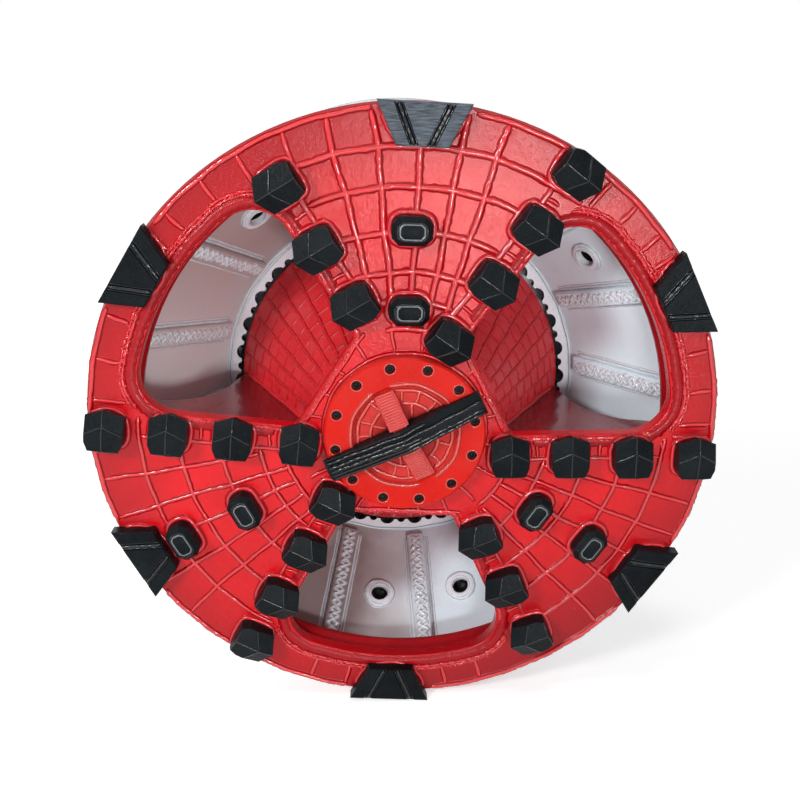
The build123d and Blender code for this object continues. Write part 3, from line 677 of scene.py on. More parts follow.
# Painted shade: a darker red for the rolled lips of the openings, whose inner slopes lie in shade.
RED_LIP_SHADED = weld_enamel("red_enamel_lips_painted_shade", (0.38, 0.003, 0.008), (0.30, 0.002, 0.006), 0.18, 0.36,
                      0.6, coat=0.15)
RED_RIB = enamel("red_enamel_ribs", (0.66, 0.075, 0.070), (0.50, 0.030, 0.032), 0.2, 0.4, 0.6, grit=0.3)
RED_CONE_WELD = weld_enamel("red_enamel_cone_welds", (0.70, 0.018, 0.026), (0.28, 0.005, 0.009), 0.16, 0.34,
                            0.3, coat=0.15)
BLACK = enamel("black_tool_paint", (0.0060, 0.0092, 0.0112), (0.0020, 0.0032, 0.0042), 0.24, 0.36, 1.3,
               1.2, grit=0.45, sheen=0.07, dust=(0.3, (0.022, 0.031, 0.036)))
BLACK_WELD = weld_enamel("black_tool_welds", (0.006, 0.008, 0.011), (0.0015, 0.002, 0.003), 0.10, 0.26,
                         0.4, sheen=0.06, coat=0.7)
BRAZE = weld_enamel("worn_braze", (0.12, 0.14, 0.15), (0.010, 0.013, 0.015), 0.12, 0.3, 0.6,
                    sheen=0.3, coat=1.0)
WHITE = enamel("off_white_enamel", (0.86, 0.90, 0.97), (0.80, 0.81, 0.88), 0.3, 0.5, 0.5, 0.8,
               sheen=0.3, dust=(0.4, (0.54, 0.43, 0.43)))
BOWL_WHITE = enamel("crusher_bowl_enamel", (0.78, 0.93, 1.00), (0.73, 0.85, 0.93), 0.3, 0.5, 0.5, 0.8,
                    dust=(0.2, (0.64, 0.58, 0.59)))
WHITE_WELD = weld_enamel("off_white_welds", (0.80, 0.90, 0.96), (0.48, 0.48, 0.52), 0.18, 0.4,
                         0.4, sheen=0.3, coat=0.8)
GREY = enamel("grey_enamel", (0.24, 0.26, 0.28), (0.19, 0.20, 0.22), 0.35, 0.55, 0.5,
              dust=(0.3, (0.16, 0.14, 0.13)))
GREY_WELD = weld_enamel("grey_enamel_welds", (0.27, 0.28, 0.30), (0.10, 0.10, 0.11), 0.3, 0.5, 0.3,
                        coat=0.1)
STEEL = enamel("turned_steel", (0.48, 0.48, 0.49), (0.40, 0.40, 0.41), 0.22, 0.38, 0.1, 2.0,
               sheen=0.5, metal=1.0)
BOLT_BLACK = enamel("black_oxide_bolts", (0.008, 0.009, 0.008), (0.003, 0.003, 0.003), 0.24, 0.45,
                    0.2, 3.0, sheen=0.12)
ZINC = enamel("zinc_bolts", (0.50, 0.50, 0.48), (0.38, 0.38, 0.37), 0.3, 0.5, 0.1, 3.0, metal=0.85)


def stained(base, name, stain):
    """Copy of an enamel whose colour is changed from the painted colour and the place: by wear, and on most
    parts by painted shade.
    """
    material = base.copy()
    material.name = name
    tree = material.node_tree
    shader = tree.nodes["Principled BSDF"]
    painted = shader.inputs["Base Color"].links[0].from_socket
    feed(shader, "Base Color", stain(tree, painted, object_place(tree)))
    return material


def stain_screen(tree, painted, _):
    """Flame-cut walls of the notches left dark as bare steel, and near black as painted shade of the dark gap
    behind them.
    """
    normal = add_node(tree, "TexCoord").outputs["Normal"]
    lean = math_node(tree, "ABSOLUTE", coordinate(tree, normal, "Y"))
    return mix(tree, ramp(tree, lean, 0.6, 0.3), painted, (0.035, 0.040, 0.038))


def stain_bowl(tree, painted, place):
    """Painted shade on one side, darker higher up, and a painted shadow at the bottom."""
    x, z = coordinate(tree, place, "X"), coordinate(tree, place, "Z")
    blotches = ramp(tree, noise(tree, place, 6.0, 3.0, 0.5), 0.3, 0.7, -0.05, 0.05)
    across = math_node(tree, "ADD", x, blotches)
    painted_left_shade = mix(tree, ramp(tree, z, 0.02, 0.38), (0.84, 0.86, 0.88), (0.46, 0.38, 0.38))
    painted_left_side = mix(tree, ramp(tree, across, 0.10, -0.20), painted, painted_left_shade)
    # painted shadow of the left arm over the left of the bottom of the bowl
    low = ramp(tree, math_node(tree, "ADD", z, blotches), -0.36, -0.50)
    painted_bottom_shadow = math_node(tree, "MULTIPLY", low, ramp(tree, across, 0.10, -0.14))
    return mix(tree, painted_bottom_shadow, painted_left_side, (0.34, 0.28, 0.28))


def stain_face(tree, painted, place):
    """Painted shade: darker red towards the rim, at the bottom and at the upper left."""
    painted_rim_shade = ramp(tree, from_axis(tree, place), 0.78 * RIM_RADIUS, RIM_RADIUS, 0.0, 0.7)
    shaded = mix(tree, painted_rim_shade, painted, (0.30, 0.002, 0.007))
    for way, most in (((0.40, 0, -0.92), 0.85), ((-0.60, 0, 0.80), 0.55)):
        along = vector_node(tree, "DOT_PRODUCT", place, way)
        shade = ramp(tree, along, 0.58 * RIM_RADIUS, 0.98 * RIM_RADIUS, 0.0, most)
        shaded = mix(tree, shade, shaded, (0.28, 0.002, 0.006))
    return shaded


def stain_hub(tree, painted, place):
    """Paler and worn on the floor of the dish, with painted shade darkening its middle."""
    floor = ramp(tree, coordinate(tree, place, "Y"), HUB_Y + 0.3 * DISH_DEPTH, HUB_Y + 0.8 * DISH_DEPTH)
    blotches = ramp(tree, noise(tree, place, 60.0, 4.0, 0.6), 0.35, 0.65, 0.35, 1.0)
    worn = mix(tree, math_node(tree, "MULTIPLY", floor, blotches), painted, (0.56, 0.040, 0.036))
    painted_centre_shade = ramp(tree, from_axis(tree, place), 0.80 * DISH_RADIUS, 0.35 * DISH_RADIUS, 0.0, 0.85)
    return mix(tree, math_node(tree, "MULTIPLY", painted_centre_shade, floor), worn, (0.16, 0.008, 0.010))


def stain_gauges(tree, painted, place):
    """Paint worn to bright brushed steel on the cutter at the top of the rim."""
    centre = polar(0.5 * (GAUGE_INNER + GAUGE_OUTER), 90 + HEAD_ANGLE, FACE_Y)
    near = ramp(tree, vector_node(tree, "DISTANCE", place, tuple(centre)), 0.16, 0.13)
    brushed = add_node(tree, "Mapping", Vector=place, Rotation=(0, math.radians(35), 0), Scale=(30, 30, 260))
    strokes = noise(tree, brushed.outputs["Vector"], 1.0, 4.0, 0.6)
    steel = mix(tree, ramp(tree, strokes, 0.32, 0.68), (0.026, 0.033, 0.042), (0.13, 0.152, 0.18))
    return mix(tree, near, painted, steel)


BOWL = stained(BOWL_WHITE, "crusher_bowl_paint", stain_bowl)
SLOT_MATERIALS = {
    "red_enamel": RED,
    "tool_steel": BLACK,
    "white_enamel": WHITE,
    "grey_enamel": GREY,
    "machined_steel": STEEL,
}
NODE_MATERIALS = {
    "face_plate": stained(RED, "face_plate_paint", stain_face),
    "hub_plate": stained(RED_HUB, "hub_plate_paint", stain_hub),
    "arm_boxes": RED_BOX_SHADED,
    "crusher_cone": RED_CONE,
    "crusher_bowl": BOWL,
    "crusher_bars": BOWL,
    "rim_ring": RED_WALL_SHADED,
    "screen_ring": stained(WHITE, "screen_ring_paint", stain_screen),
    "gauge_cutters": stained(BLACK, "gauge_cutter_paint", stain_gauges),
}
for part in frame["record"]["subparts"]:
    node = frame["nodes"][part["node"]]
    node.data.materials.clear()
    node.data.materials.append(NODE_MATERIALS.get(part["node"], SLOT_MATERIALS[part["material_slot"]]))
    for polygon in node.data.polygons:
        polygon.material_index = 0


# ---------------- making pieces

BEAD_DRIFT_STEPS, BEAD_SWELL_STEPS = 19, 5.3  # steps in one sway and in one swell of a bead
BEAD_END, BEAD_GROWTH = 0.5, 0.28  # size at an open end, and what each step adds to it
BEAD_LIFT = 0.1 * MM  # of a bead's toes above what it lies on
WASHER = 3  # mm
BOLT_CREASE = 30  # degrees from which an edge of a turned or flat-sided form is sharp
ROUND_POINTS = 48  # round a ring bead of a port or a pipe


def new_object(name, data):
    made = bpy.data.objects.new(name, data)
    bpy.context.scene.collection.objects.link(made)
    return made


class Mesh:
    """Points and faces gathered into one piece, with each point's place across and along its bead."""

    def __init__(self, name):
        self.name = name
        self.dice = random.Random(name)
        self.points = []
        self.faces = []
        self.crown = []
        self.run = []

    def jitter(self, most):
        """Random value between minus and plus the most."""
        return self.dice.uniform(-most, most)

    def add(self, point, crown=1.0, run=0.0):
        self.points.append(point)
        self.crown.append(crown)
        self.run.append(run)

    def make(self, material, body, slot, crease=None):
        data = bpy.data.meshes.new(self.name)
        data.from_pydata([tuple(p) for p in self.points], [], self.faces)
        for label, values in (("crown", self.crown), ("run", self.run)):
            data.attributes.new(label, "FLOAT", "POINT").data.foreach_set("value", values)
        data.materials.append(material)
        data.shade_smooth()
        if crease:
            data.set_sharp_from_angle(angle=math.radians(crease))
        made = new_object(self.name, data)
        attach(made, body)


def piece(*finish):
    """Makes the piece that a function is named for from what the function adds to a new mesh."""
    def make(build):
        mesh = Mesh(build.__name__)
        build(mesh)
        mesh.make(*finish)
    return make


def join_rings(mesh, first, size, rings, closed):
    """Faces between rings of points that were added one after another, with caps on an open row."""
    for k in range(rings if closed else rings - 1):
        a = first + k * size
        b = first + (k + 1) % rings * size
        for j in range(size):
            n = (j + 1) % size
            mesh.faces.append((a + j, a + n, b + n, b + j))
    if not closed:
        end = first + (rings - 1) * size
        mesh.faces.append(tuple(range(first + size - 1, first - 1, -1)))
        mesh.faces.append(tuple(range(end, end + size)))


def lay_bead(mesh, path, width=BEAD_WIDTH, height=BEAD_HEIGHT, closed=False, rough=0.11,
             wander=0.9, sink=2):
    """One weld bead along a path of (point, normal), as uneven as it was laid.  Its sizes are in mm."""
    count = len(path)
    if count < 3:
        return
    width, height, wander, sink = (size * MM for size in (width, height, wander, sink))
    phase = mesh.dice.uniform(0, 7)
    slow, quick = (2 * math.pi * max(1, round(count / steps)) / count
                   for steps in (BEAD_DRIFT_STEPS, BEAD_SWELL_STEPS))
    first = len(mesh.points)
    run = mesh.dice.uniform(0, 1)
    for k, (point, normal) in enumerate(path):
        after = path[(k + 1) % count if closed else min(k + 1, count - 1)][0]
        before = path[(k - 1) % count if closed else max(k - 1, 0)][0]
        across = (after - before).cross(normal).normalized()
        sway = wander * (math.sin(slow * k + phase) + mesh.jitter(0.4))
        swell = 1.0 + rough * (0.5 * math.sin(quick * k + phase) + mesh.jitter(1))
        ends = 1.0 if closed else min(1.0, BEAD_END + BEAD_GROWTH * min(k, count - 1 - k))
        for aside, rise, crown in BEAD_SECTION:
            place = point + across * (aside * width * swell * ends + sway)
            mesh.add(place + normal * (rise * height * swell * ends + BEAD_LIFT), crown, run)
        for aside in (0.5, -0.5):
            mesh.add(point + across * (aside * width * ends + sway) - normal * sink, 0.0, run)
        run += (after - point).length
    join_rings(mesh, first, len(BEAD_SECTION) + 2, count, closed)


def lay_kept(mesh, path, test, *sizes, **bead):
    """Beads along the stretches of a path on which the test holds."""
    for run in kept(path, test):
        lay_bead(mesh, run, *sizes, **bead)


def hexagon(apothem):
    """Radius of a hexagon at an angle."""
    return lambda turn: apothem / math.cos(turn % (math.pi / 3) - math.pi / 6)


def turn_up(mesh, origin, axis, rings, sides=24, spin=0.0):
    """Turned or hexagonal form on an axis from (radius, height) rings in mm, closed at both ends."""
    level = Vector((1, 0, 0)) if abs(axis.y) > 0.9 else axis.orthogonal().normalized()
    upright = axis.cross(level)
    first = len(mesh.points)
    for radius, height in rings:
        for j in range(sides):
            turn = 2 * math.pi * j / sides
            reach = MM * (radius(turn) if callable(radius) else radius)
            way = level * math.cos(turn + spin) + upright * math.sin(turn + spin)
            mesh.add(origin + way * reach + axis * (height * MM))
    join_rings(mesh, first, sides, len(rings), False)


def hex_bolt(mesh, origin, axis, a):
    """Hexagon bolt head of apothem a, with a washer."""
    spin = mesh.dice.uniform(0, math.pi)
    turn_up(mesh, origin, axis, (
        (1.25 * a, -0.5),
        (1.25 * a, 0.8 * WASHER),
        (1.2 * a, WASHER),
        (a, WASHER),
    ))
    turn_up(mesh, origin, axis, (
        (hexagon(a), WASHER - 0.5),
        (hexagon(a), WASHER + 0.95 * a),
        (a, WASHER + 1.15 * a),
        (0.9 * a, WASHER + 1.2 * a),
    ), spin=spin)


def socket_bolt(mesh, origin, axis, radius, height):
    """Cap screw with a hexagon socket."""
    spin = mesh.dice.uniform(0, math.pi)
    key = hexagon(0.48 * radius)
    turn_up(mesh, origin, axis, (
        (radius, 0),
        (radius, height - 0.1 * radius),
        (0.9 * radius, height),
        (lambda turn: 1.08 * key(turn), height),
        (key, height - 0.08 * radius),
        (key, height - 0.6 * radius),
        (0.1 * radius, height - 0.75 * radius),
    ), spin=spin)


# ---------------- welds on the face

# For each arm: its angle, its bead width, the radii of its rings of squares in mm and its spoke angles
ARM_GRIDS = (
    (90.0, 14.0, (640, 557, 461, 372, 307, 244), (75.3, 82.6, 90.5, 98.5, 106.5)),
    (210.0, 10.5, (614, 523, 430, 340, 285), (192.5, 201.0, 209.0, 217.0, 225.0)),
    (330.0, 10.5, (612, 520, 436, 339, 263), (316.0, 324.6, 332.0, 339.9, 347.3)),
)
EDGE_NEAR = 50  # degrees within which the edge of an arm bounds an opening
RIM_SIDE, HUB_SIDE = 470 * MM, 300 * MM  # where the rim side of an opening starts and its hub side ends
HUB_SPOKE_REACH = 244 * MM
ARM_RING_REACH = 33.0  # degrees a ring of squares is traced to each side of its arm
# Angles of the spokes on the rim beside the muck openings
RIM_SPOKES = (
    1.2, 3.6, 10.7, 18.4, 37.4, 41.9, 48.7, 55.5, 114.6, 122.6, 130.6, 138.6, 143.6,
    160.2, 168.3, 176.4, 253.8, 261.0, 281.5, 289.0,
)
SPOKE_START = 628 * MM
RIM_BEAD_RADIUS = 719 * MM
RIM_BEAD_WIDTH = 12
SPOKE_END = RIM_BEAD_RADIUS - 4 * MM
LIP_REACH = 36 * MM  # how far the lips of the openings spread over the face
LIP_OFFSET = 4 * MM  # bead on the lip of an opening, outside the flat of the face
ROW_OFFSET = 60 * MM  # second bead behind the edge of an arm
GAUGE_CLEARANCE = 8.4  # degrees kept free of the rim bead beside each gauge cutter
SPATTER_DROPS, DROP_SIDES = 110, 6
ARM_EDGES = tuple((arm + side * -SECTOR_HALF, side) for arm in ARM_ANGLES for side in (1, -1))
SCRAPER_NODES = [name for name in frame["nodes"] if name.startswith("scrapers_")]
PICK_NODES = [name for name in frame["nodes"] if name.startswith("picks_")]
LIP_OUTLINES = [widened(outline, LIP_REACH) for outline in OPENING_OUTLINES]


def bearing(point):
    """Angle of a point of the head before the head is turned."""
    return math.degrees(math.atan2(point.z, point.x)) - HEAD_ANGLE


def apart(a, b):
    """Degrees between two angles."""
    return abs((a - b + 180) % 360 - 180)


def beyond_lips(point):
    """Whether a point over the face lies outside the rolled lips of the openings."""
    return on_plate(point) and not any(inside(point, outline) for outline in LIP_OUTLINES)


def at_rim(point):
    """Whether a point on the edge of an opening is on its rim side, away from the arms and the hub."""
    near = [edge for edge in ARM_EDGES if apart(edge[0], bearing(point)) < EDGE_NEAR]
    return point.xz.length > RIM_SIDE and min(-set_back(point, *edge) for edge in near) > 4 * MM


def away_from_hub(point):
    return point.xz.length > HUB_SIDE


def clear_of_gauges(point):
    """Whether a point of the rim lies between the gauge cutters."""
    return min(apart(bearing(point), gauge) for gauge in GAUGE_ANGLES) > GAUGE_CLEARANCE


def wobbly_arc(mesh, radius, start, stop):
    """Ring bead whose radius drifts by a few millimetres between its spokes."""
    shares = evenly(max(2, round(abs(stop - start) / 8)))
    stops = [(radius + mesh.jitter(1.6) * MM, between(start, stop, share)) for share in shares]
    return trace(face, *stops)


@piece(RED_WELD, HEAD, "red_enamel")
def arm_hardfacing(mesh):
    """Squares of hard facing down the middle of each arm."""
    for arm, width, radii, spokes in ARM_GRIDS:
        edges = ((arm - SECTOR_HALF, 1), (arm + SECTOR_HALF, -1))
        rim = radii[0] * MM

        def behind_rows(clear):
            """Test for points farther into the arm than the rows behind its edges, or out on its rim."""
            def test(point):
                if point.xz.length > rim - 4 * MM:
                    return on_plate(point)
                return min(set_back(point, *edge) for edge in edges) > ROW_OFFSET + clear
            return test

        for radius in radii:
            path = wobbly_arc(mesh, radius * MM, arm - ARM_RING_REACH, arm + ARM_RING_REACH)
            lay_kept(mesh, path, beyond_lips if radius == radii[0] else behind_rows(2 * MM), width)
        for spoke in spokes:
            stops = [(SPOKE_END, spoke + mesh.jitter(0.3))]
            stops += [(radius * MM, spoke + mesh.jitter(0.5)) for radius in radii]
            lay_kept(mesh, trace(face, *stops), behind_rows(14 * MM), width)
        for edge in edges:
            stops = ((-30 * MM, ROW_OFFSET), (rim - FLARE_RADIUS - 8 * MM, ROW_OFFSET))
            lay_bead(mesh, trace(edge_place(*edge), *stops), 0.9 * width)
    for name in SCRAPER_NODES:
        bits = sorted(map(middle, solids(name)), key=lambda point: point.xz.length)
        angle = bearing(bits[-1])
        place = edge_place(*min(ARM_EDGES, key=lambda edge: apart(angle, edge[0])))
        start, along = place(0, 0)[0], place(1, 0)[0] - place(0, 0)[0]
        for near, far in zip(bits, bits[1:]):
            out = (0.5 * (near + far) - start).dot(along) + mesh.jitter(4) * MM
            stops = ((out, 24 * MM), (out + mesh.jitter(3) * MM, ROW_OFFSET - 3 * MM))
            lay_bead(mesh, fine_trace(place, *stops), 8, 3)


@piece(RED_WELD, HEAD, "red_enamel")
def rim_hardfacing(mesh):
    """Outer bead of the rim and the spokes between it and the openings."""
    lay_kept(mesh, circle(face, RIM_BEAD_RADIUS), clear_of_gauges, RIM_BEAD_WIDTH, 5, sink=9)
    for angle in RIM_SPOKES:
        path = trace(face, (SPOKE_START, angle), (SPOKE_END, angle + mesh.jitter(0.5)))
        lay_kept(mesh, path, beyond_lips, 11, 4)


def lay_drops(mesh, path, most):
    """Beads of spatter beside a weld."""
    for point, _ in path:
        size = mesh.dice.uniform(0.45, 1.0) * most
        place = point + Vector((mesh.jitter(4) * MM, 0, mesh.jitter(4) * MM))
        rings = ((size, 0), (0.85 * size, 1.6 + 0.5 * size), (0.4 * size, 1.6 + 0.9 * size))
        turn_up(mesh, place, FRONT, rings, 7, mesh.dice.uniform(0, 1))


@piece(RED_LIP_SHADED, HEAD, "red_enamel")
def opening_lip_rolls(mesh):
    """Thick rounded lip on the rim side of each muck opening."""
    for outline in OPENING_OUTLINES:
        for run in kept_round(ring_outside(outline, 13 * MM), away_from_hub):
            lay_bead(mesh, run, 20, 3.6, rough=0.13, wander=0.6)


@piece(RED_SEAT, HEAD, "red_enamel")
def opening_lip_welds(mesh):
    """Rough double weld outside the rolled lips."""
    for outline in OPENING_OUTLINES:
        for offset, width, height in ((28, 7, 3.8), (35, 6, 3.2)):
            for run in kept_round(ring_outside(outline, offset * MM), at_rim):
                lay_bead(mesh, run, width, height, rough=0.5, wander=0.6)
                lay_drops(mesh, run, 3.6)


@piece(RED_SEAT, HEAD, "red_enamel")
def opening_lip_hardfacing(mesh):
    """Rough bead right on the edge of each muck opening along the arms and the hub."""
    for outline in OPENING_OUTLINES:
        for run in kept_round(ring_outside(outline, LIP_OFFSET), lambda point: not at_rim(point)):
            lay_bead(mesh, run, 10, 2.4, rough=0.22, wander=0.8, sink=5)
            lay_drops(mesh, run, 3.4)


@piece(RED_WELD, HEAD, "red_enamel")
def hub_seat_welds(mesh):
    """Weld round the seat of the hub plate and short spokes from it to the edges of the openings."""
    half = 36  # degrees the straight welds reach to each side of an opening
    lay_bead(mesh, circle(face, HUB_RADIUS + 2.5 * MM), 9, 6, True)
    for opening in OPENING_ANGLES:
        row = []
        for share in evenly(24):
            turn = half * (2 * share - 1)
            row.append(face((OPENING_HUB_FLAT - 13 * MM) / math.cos(math.radians(turn)), opening + turn))
        lay_bead(mesh, spaced(row, FINE_STEP), 8, 3.5)
    for spoke in round_angles(20, 11):
        angle = spoke + mesh.jitter(2)
        stop = HUB_SPOKE_REACH + mesh.dice.uniform(0, 10) * MM
        path = fine_trace(face, (HUB_RADIUS + 4 * MM, angle), (stop, angle))
        lay_kept(mesh, path, on_plate, 8, 3)


@piece(RED_SEAT, HEAD, "red_enamel")
def tool_seat_welds(mesh):
    """Wide smooth welds that seat the bits, the picks and the gauge cutters."""
    for names, width, height in ((SCRAPER_NODES, 13, 6), (PICK_NODES, 15, 8), (["gauge_cutters"], 10, 5)):
        for solid in solids(*names):
            outline = max(flat_outlines(solid, FACE_Y, 1), key=len)
            ring = ring_outside(rounded(outline), 0.26 * width * MM)
            for run in kept_round(ring, on_plate):
                lay_bead(mesh, run, width, height, len(run) == len(ring), 0.05)


@piece(RED, HEAD, "red_enamel")
def weld_spatter(mesh):
    """Drops of weld metal painted over on the face, spread evenly from 0.3 m to 0.7 m out."""
    while len(mesh.points) < SPATTER_DROPS * DROP_SIDES * 3:
        radius = math.sqrt(mesh.dice.uniform(0.09, 0.5))
        place, normal = face(radius, mesh.dice.uniform(0, 360))
        if not on_plate(place):
            continue
        size = mesh.dice.uniform(1.0, 2.4)
        rings = ((size, -0.3), (0.8 * size, 0.35 * size), (0.3 * size, 0.55 * size))
        turn_up(mesh, place, normal, rings, DROP_SIDES, mesh.dice.uniform(0, 1))


# ---------------- welds on the tools

@piece(BLACK_WELD, HEAD, "tool_steel")
def bit_edge_hardfacing(mesh):
    """Thin ridges of hard facing along the roof, the fork and the nose of each bit and pick."""
    least_rise, least_length = 16 * MM, 9 * MM
    for solid in solids(*SCRAPER_NODES, *PICK_NODES):
        for a, b, normal in crease_lines(solid):
            high = max(a.y, b.y) < FACE_Y - least_rise
            if high and normal.y < -0.75 and (b - a).length > least_length:
                path = spaced([(a, normal), (b, normal)], FINE_STEP)
                lay_bead(mesh, path, 3.2, 0.8, rough=0.2, wander=0.3, sink=1)


def pick_crowns():
    """Outline and middle of the flat crown of each pick."""
    for solid in solids(*PICK_NODES):
        top = min(point.y for point in (solid[0][k] for ring, _ in solid[1] for k in ring))
        outline = max(flat_outlines(solid, top, -1), key=len)
        yield outline, sum(outline, Vector()) / len(outline)


@piece(BLACK, HEAD, "tool_steel", BOLT_CREASE)
def pick_insets(mesh):
    """Hard plate let into the crown of each pick."""
    for outline, centre in pick_crowns():
        first = len(mesh.points)
        for share, rise in ((0.74, -0.5), (0.74, 1.4), (0.66, 2.2)):
            for point in outline:
                mesh.add(centre.lerp(point, share) + FRONT * rise * MM)
        join_rings(mesh, first, len(outline), 3, False)


@piece(BRAZE, HEAD, "tool_steel")
def pick_inset_brazing(mesh):
    """Bright braze line round the plate of each pick."""
    for outline, centre in pick_crowns():
        border = facing_front(centre.lerp(point, 0.82) for point in outline)
        lay_bead(mesh, spaced(border, FINE_STEP, True), 4, 1.2, True, wander=0.2)


@piece(BLACK_WELD, HEAD, "tool_steel")
def gauge_groove_hardfacing(mesh):
    """Rough bead down each groove of the gauge cutters, with a thin one on each side of it."""
    beads = ((0, 10, 6, 0.1, 0.3), (-7.5, 4.5, 3, 0.15, 0.2), (7.5, 4.5, 3, 0.15, 0.2))
    for angle in GAUGE_ANGLES:
        for hand in (1, -1):
            for aside, width, height, rough, wander in beads:
                path = fine_trace(gauge_groove(angle, hand), (0.03, aside * MM), (0.96, aside * MM))
                lay_bead(mesh, path, width, height, rough=rough, wander=wander)


# ---------------- hub and centre

HUB_BOLT_ANGLES = round_angles(HUB_BOLT_COUNT, 180 / HUB_BOLT_COUNT)
HUB_BOLTS = [hub_top(HUB_BOLT_CIRCLE, angle)[0] for angle in HUB_BOLT_ANGLES]
RIB_TURNS = (90.0, 270.0)


@piece(BOLT_BLACK, HEAD, "tool_steel", BOLT_CREASE)
def hub_bolts(mesh):
    for centre in HUB_BOLTS:
        socket_bolt(mesh, centre + BACK * HUB_BOLT_SEAT, FRONT, 9.3, 9.5)


@piece(RED_HUB_WELD, HEAD, "red_enamel")
def hub_bolt_rims(mesh):
    """Raised paint round the counterbores of the hub bolts."""
    for centre in HUB_BOLTS:
        ring = facing_front(centre + polar(13.2 * MM, turn) for turn in round_angles(30))
        lay_bead(mesh, spaced(ring, 3 * MM, True), 2.8, 0.9, True, wander=0.1, sink=1)


@piece(RED_HUB_WELD, HEAD, "red_enamel")
def hub_dish_hardfacing(mesh):
    """Broken ring, arcs and short spokes of hard facing in the dish of the hub plate."""
    inner, outer = 78 * MM, 109 * MM
    for sector in (73.5, 163.5, 253.5, 343.5):
        stops = ((DISH_RADIUS + 10 * MM, sector - 36), (DISH_RADIUS + 9 * MM, sector + 36))
        lay_bead(mesh, fine_trace(hub_top, *stops), 8, 3, rough=0.15)
        for radius, half in ((inner, 26), (outer, 32)):
            path = fine_trace(dish, (radius, sector - half), (radius, sector + half))
            lay_bead(mesh, path, 9, 3.6, rough=0.15)
        for turn in (-22, 2, 25):
            angle = sector + turn + mesh.jitter(4)
            lay_bead(mesh, fine_trace(dish, (inner, angle), (outer + 1 * MM, angle)), 7, 3)
        angle = sector + mesh.jitter(8)
        lay_bead(mesh, fine_trace(dish, (46 * MM, angle), (inner, angle + 5)), 7, 3)


@piece(RED_RIB, HEAD, "red_enamel", 40)
def centre_rib_cladding(mesh):
    """Worn hard facing that thickens the two ribs."""
    section = ((-1, -1), (-1, 0.8), (-0.9, 1.5), (0, 1.9), (0.9, 1.5), (1, 0.8), (1, -1))
    shares = evenly(23)
    for turn in RIB_TURNS:
        place = rib_top(turn)
        first = len(mesh.points)
        for share in shares:
            out = RIB_NEAR + 3 * MM + (RIB_FAR - RIB_NEAR - 4 * MM) * share
            for across, rise in section:
                point, _ = place(out, across * (RIB_CLAD_HALF + mesh.jitter(0.7) * MM))
                if rise < 0:
                    point.y = HUB_Y + DISH_DEPTH + 1 * MM
                mesh.add(point + FRONT * max(0.0, rise) * MM)
        join_rings(mesh, first, len(section), len(shares), False)


@piece(RED_HUB_WELD, HEAD, "red_enamel")
def centre_rib_hardfacing(mesh):
    """Fine cross beads over the cladding of the ribs."""
    for turn in RIB_TURNS:
        place = rib_top(turn)
        for k in range(13):
            out = RIB_NEAR + 9 * MM + k * 6.2 * MM
            skew = mesh.dice.uniform(0.4, 1.6) * MM
            reach = RIB_CLAD_HALF - mesh.dice.uniform(2, 4) * MM
            path = fine_trace(place, (out - skew, -reach), (out + skew, reach))
            path = [(point + FRONT * 1.4 * MM, normal) for point, normal in path]
            lay_bead(mesh, path, 4.4, 1.3, rough=0.15, wander=0.2)


@piece(BLACK_WELD, HEAD, "tool_steel")
def centre_cutter_hardfacing(mesh):
    """Lengthwise ridges of hard facing on the roof of the centre cutter."""
    end = BLADE_HALF - 5 * MM
    for across, reach in ((-22, end), (-12, end), (-2, 40 * MM), (8, end), (19, 60 * MM)):
        stops = [(along, across * MM) for along in (-end, 0.0, reach)]
        lay_bead(mesh, fine_trace(blade, *stops), 8, 3.4, rough=0.14, wander=0.8)


# ---------------- crusher cone, rim, arms

@piece(RED_CONE_WELD, HEAD, "red_enamel")
def cone_hardfacing(mesh):
    """Staggered squares of hard facing on the crusher cone, and the welds to the arm boxes."""
    square = 0.117
    shares = [0.03 + square * k for k in range(9)]
    for opening in OPENING_ANGLES:
        edges = ((opening - SECTOR_HALF, -1), (opening + SECTOR_HALF, 1))

        def on_cone(point):
            return all(set_back(point, *edge) < -6 * MM for edge in edges)

        lines = [opening - 60 + 7.5 * k + mesh.jitter(0.5) for k in range(17)]
        for angle in lines:
            lay_kept(mesh, trace(cone, (shares[0], angle), (shares[-1], angle)), on_cone, 7, 2.2)
        for number, (start, stop) in enumerate(zip(lines, lines[1:])):
            for share in shares[:-1]:
                level = share + (0.5 * square if number % 2 else 0.0) + mesh.jitter(0.008)
                path = trace(cone, (level, start), (level, stop), step=5 * MM)
                lay_kept(mesh, path, on_cone, 7, 2.2)
        for edge, side in edges:
            wall = polar(1, opening + HEAD_ANGLE - 90 * side)
            row = []
            for part in evenly(32):
                share = 0.02 + 0.9 * part
                radius = between(CONE_FRONT_RADIUS, CONE_REAR_RADIUS, share)
                point, normal = cone(share, edge_angle(edge, side, radius, 4 * MM))
                row.append((point, (normal + wall).normalized()))
            lay_bead(mesh, spaced(row, BEAD_STEP), 13, 6, sink=6)


@piece(RED_WELD, HEAD, "red_enamel")
def rim_side_hardfacing(mesh):
    """Slanted beads of hard facing round the outside of the rim ring."""
    count = 96
    for place in round_angles(count):
        angle = place + mesh.jitter(0.2)
        path = fine_trace(ring_side, (0.42, angle), (0.95, angle + 1.6))
        lay_bead(mesh, path, 9, 2.6, wander=0.4)


# ---------------- bowl, bars and ports

BAR_ANGLES = round_angles(BAR_COUNT, BAR_FIRST)


